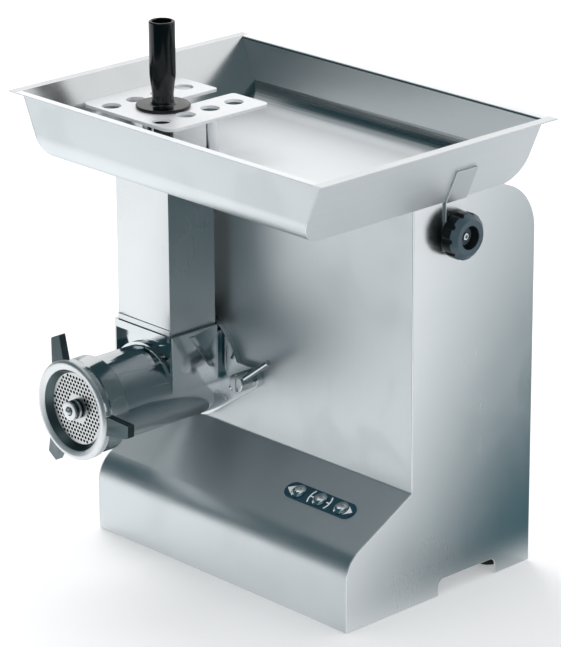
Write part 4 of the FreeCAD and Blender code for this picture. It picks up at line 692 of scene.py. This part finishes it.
def nodesToMesh(piece, tree, keys, values, sharpFrom):  # keeps the tree's result as a plain mesh
    run = piece.modifiers.new("build", "NODES")
    run.node_group = tree
    for label, value in values.items():
        run[keys[label]] = value
    bpy.context.view_layer.update()
    made = bpy.data.meshes.new_from_object(piece.evaluated_get(bpy.context.evaluated_depsgraph_get()))
    piece.modifiers.remove(run)
    piece.data = made
    made.shade_smooth()
    made.set_sharp_from_angle(angle=math.radians(sharpFrom))


def fitCoverScrews(values):
    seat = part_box("cover_screws")[1].y - values["Head Height"]
    spots = [(x, seat, z) for x, z in islandMiddles("cover_screws")]
    piece = meshPiece("coverScrews", spots, [])
    tree, keys = makeScrewTree(finishes["brightSteel"])
    nodesToMesh(piece, tree, keys, values, screwMesh["sharpFrom"])
    keepPiece(piece, bodyOf["cover_screws"], slotOf["cover_screws"], "cover_screws")
    print("cover screws:", len(spots), "with", len(piece.data.polygons), "faces")


fitCoverScrews(coverScrew)

floor = {"size": 40.0, "albedo": 0.86, "glow": 0.22, "shine": 0.34}
# the dark tone is the colour of the painted shade that metal mirrors
studio = {"worldLevel": 0.84, "worldTint": (0.96, 0.98, 1.0), "paintedReflectionTone": (0.022, 0.072, 0.088)}
softboxes = {"leftSoftbox": {"spot": (-2.3, 0.9, 2.2), "aim": (0, 0, 0.3), "size": (2.0, 2.0), "power": 48.0}}
# each part of the floor or room painted dark for glossy rays only, a painted reflection of shade and of the
# machine's shadow, is a depth and the soft steps that bound it: direction, start, full
floorPaintedShadow = ((1.0, ((0.71, -0.70, 0), 0.42, 0.85)),
             (1.0, ((-0.79, 0.61, 0), -0.39, -0.08), ((0.79, -0.61, 0), -0.12, 0.03),
              ((1, 0, 0), 0.16, 0.31)),
             (0.55, ((-0.79, 0.61, 0), 0.15, 0.50), ((0, 1, 0), -0.10, 0.35)))
roomPaintedShade = ((0.90, ((0.69, -0.68, 0.25), 0.38, 0.82)),
            (1.0, ((-0.64, -0.60, 0.38), 0.55, 0.82)),
            (1.0, ((0.75, -0.10, 0.65), 0.70, 0.92)))


def whiteUnderPaintedShade(tree, paintedDarkness, level):  # white that falls to the painted dark tone, a painted shade that only glossy rays see
    mix = nodeIn(tree, "ShaderNodeMix", data_type="RGBA")
    mix.inputs["A"].default_value = (level, level, level, 1)
    mix.inputs["B"].default_value = (*[tone * level for tone in studio["paintedReflectionTone"]], 1)
    tree.links.new(paintedDarkness, mix.inputs["Factor"])
    return mix.outputs["Result"]


def paintedShadeZones(tree, place, parts):  # how much painted shade glossy rays see at a place on the floor or in a direction
    paintedDarkness = 0.0
    for depth, *steps in parts:
        part = depth
        for way, start, full in steps:
            part = math2(tree, "MULTIPLY", softStep(tree, alongWay(tree, place, way), start, full), part)
        paintedDarkness = math2(tree, "MAXIMUM", part, paintedDarkness)
    return paintedDarkness


def makeFloor(values, shade):
    half = values["size"] / 2
    made = bpy.data.materials.new("studioFloor")
    corners = [(-half, -half, 0), (half, -half, 0), (half, half, 0), (-half, half, 0)]
    plane = meshPiece("studioFloor", corners, [(0, 1, 2, 3)], made)
    made.use_nodes = True
    tree = made.node_tree
    tree.nodes.clear()
    place = tree.nodes.new("ShaderNodeTexCoord").outputs["Object"]
    path = tree.nodes.new("ShaderNodeLightPath")
    # the floor is painted darker where glossy rays see it: a painted shadow and painted shade in reflections
    paintedDarkness = math2(tree, "MULTIPLY", paintedShadeZones(tree, place, shade), path.outputs["Is Glossy Ray"])
    matte = nodeIn(tree, "ShaderNodeBsdfDiffuse")
    tree.links.new(whiteUnderPaintedShade(tree, paintedDarkness, values["albedo"]), matte.inputs["Color"])
    glow = nodeIn(tree, "ShaderNodeEmission")
    tree.links.new(whiteUnderPaintedShade(tree, paintedDarkness, 1.0), glow.inputs["Color"])
    seen = math2(tree, "MAXIMUM", path.outputs["Is Camera Ray"], path.outputs["Is Transmission Ray"])
    seen = math2(tree, "MULTIPLY", seen, values["glow"])
    mirrored = math2(tree, "MULTIPLY", path.outputs["Is Glossy Ray"], values["shine"])
    tree.links.new(math2(tree, "MAXIMUM", seen, mirrored), glow.inputs["Strength"])
    both = tree.nodes.new("ShaderNodeAddShader")
    tree.links.new(matte.outputs[0], both.inputs[0])
    tree.links.new(glow.outputs[0], both.inputs[1])
    tree.links.new(both.outputs[0], tree.nodes.new("ShaderNodeOutputMaterial").inputs["Surface"])


def makeWorld(values, shade):
    world = bpy.data.worlds.new("studioWorld")
    scene.world = world
    world.use_nodes = True
    tree = world.node_tree
    tree.nodes.clear()
    light = nodeIn(tree, "ShaderNodeBackground",
                   {"Color": (*values["worldTint"], 1), "Strength": values["worldLevel"]})
    white = nodeIn(tree, "ShaderNodeBackground", {"Strength": 1.0})
    path = tree.nodes.new("ShaderNodeLightPath")
    way = tree.nodes.new("ShaderNodeTexCoord").outputs["Generated"]
    # the world is painted darker in some directions for glossy rays only: painted shade in reflections
    paintedDarkness = math2(tree, "MULTIPLY", paintedShadeZones(tree, way, shade), path.outputs["Is Glossy Ray"])
    tree.links.new(whiteUnderPaintedShade(tree, paintedDarkness, 1.0), white.inputs["Color"])
    seen = math2(tree, "MAXIMUM", path.outputs["Is Camera Ray"], path.outputs["Is Glossy Ray"])
    seen = math2(tree, "MAXIMUM", seen, path.outputs["Is Transmission Ray"])
    mix = tree.nodes.new("ShaderNodeMixShader")
    tree.links.new(seen, mix.inputs["Fac"])
    tree.links.new(light.outputs[0], mix.inputs[1])
    tree.links.new(white.outputs[0], mix.inputs[2])
    tree.links.new(mix.outputs[0], tree.nodes.new("ShaderNodeOutputWorld").inputs["Surface"])


def addSoftbox(name, spot, aim, size, power):
    lamp = bpy.data.lights.new(name, "AREA")
    lamp.shape = "RECTANGLE"
    lamp.size, lamp.size_y = size
    lamp.energy = power
    holder = bpy.data.objects.new(name, lamp)
    scene.collection.objects.link(holder)
    holder.location = spot
    holder.visible_glossy = False  # metal shows the white room in its place
    holder.rotation_euler = (Vector(aim) - Vector(spot)).to_track_quat("-Z", "Y").to_euler()


makeFloor(floor, floorPaintedShadow)
makeWorld(studio, roomPaintedShade)
for name, values in softboxes.items():
    addSoftbox(name, **values)
print("stage set")
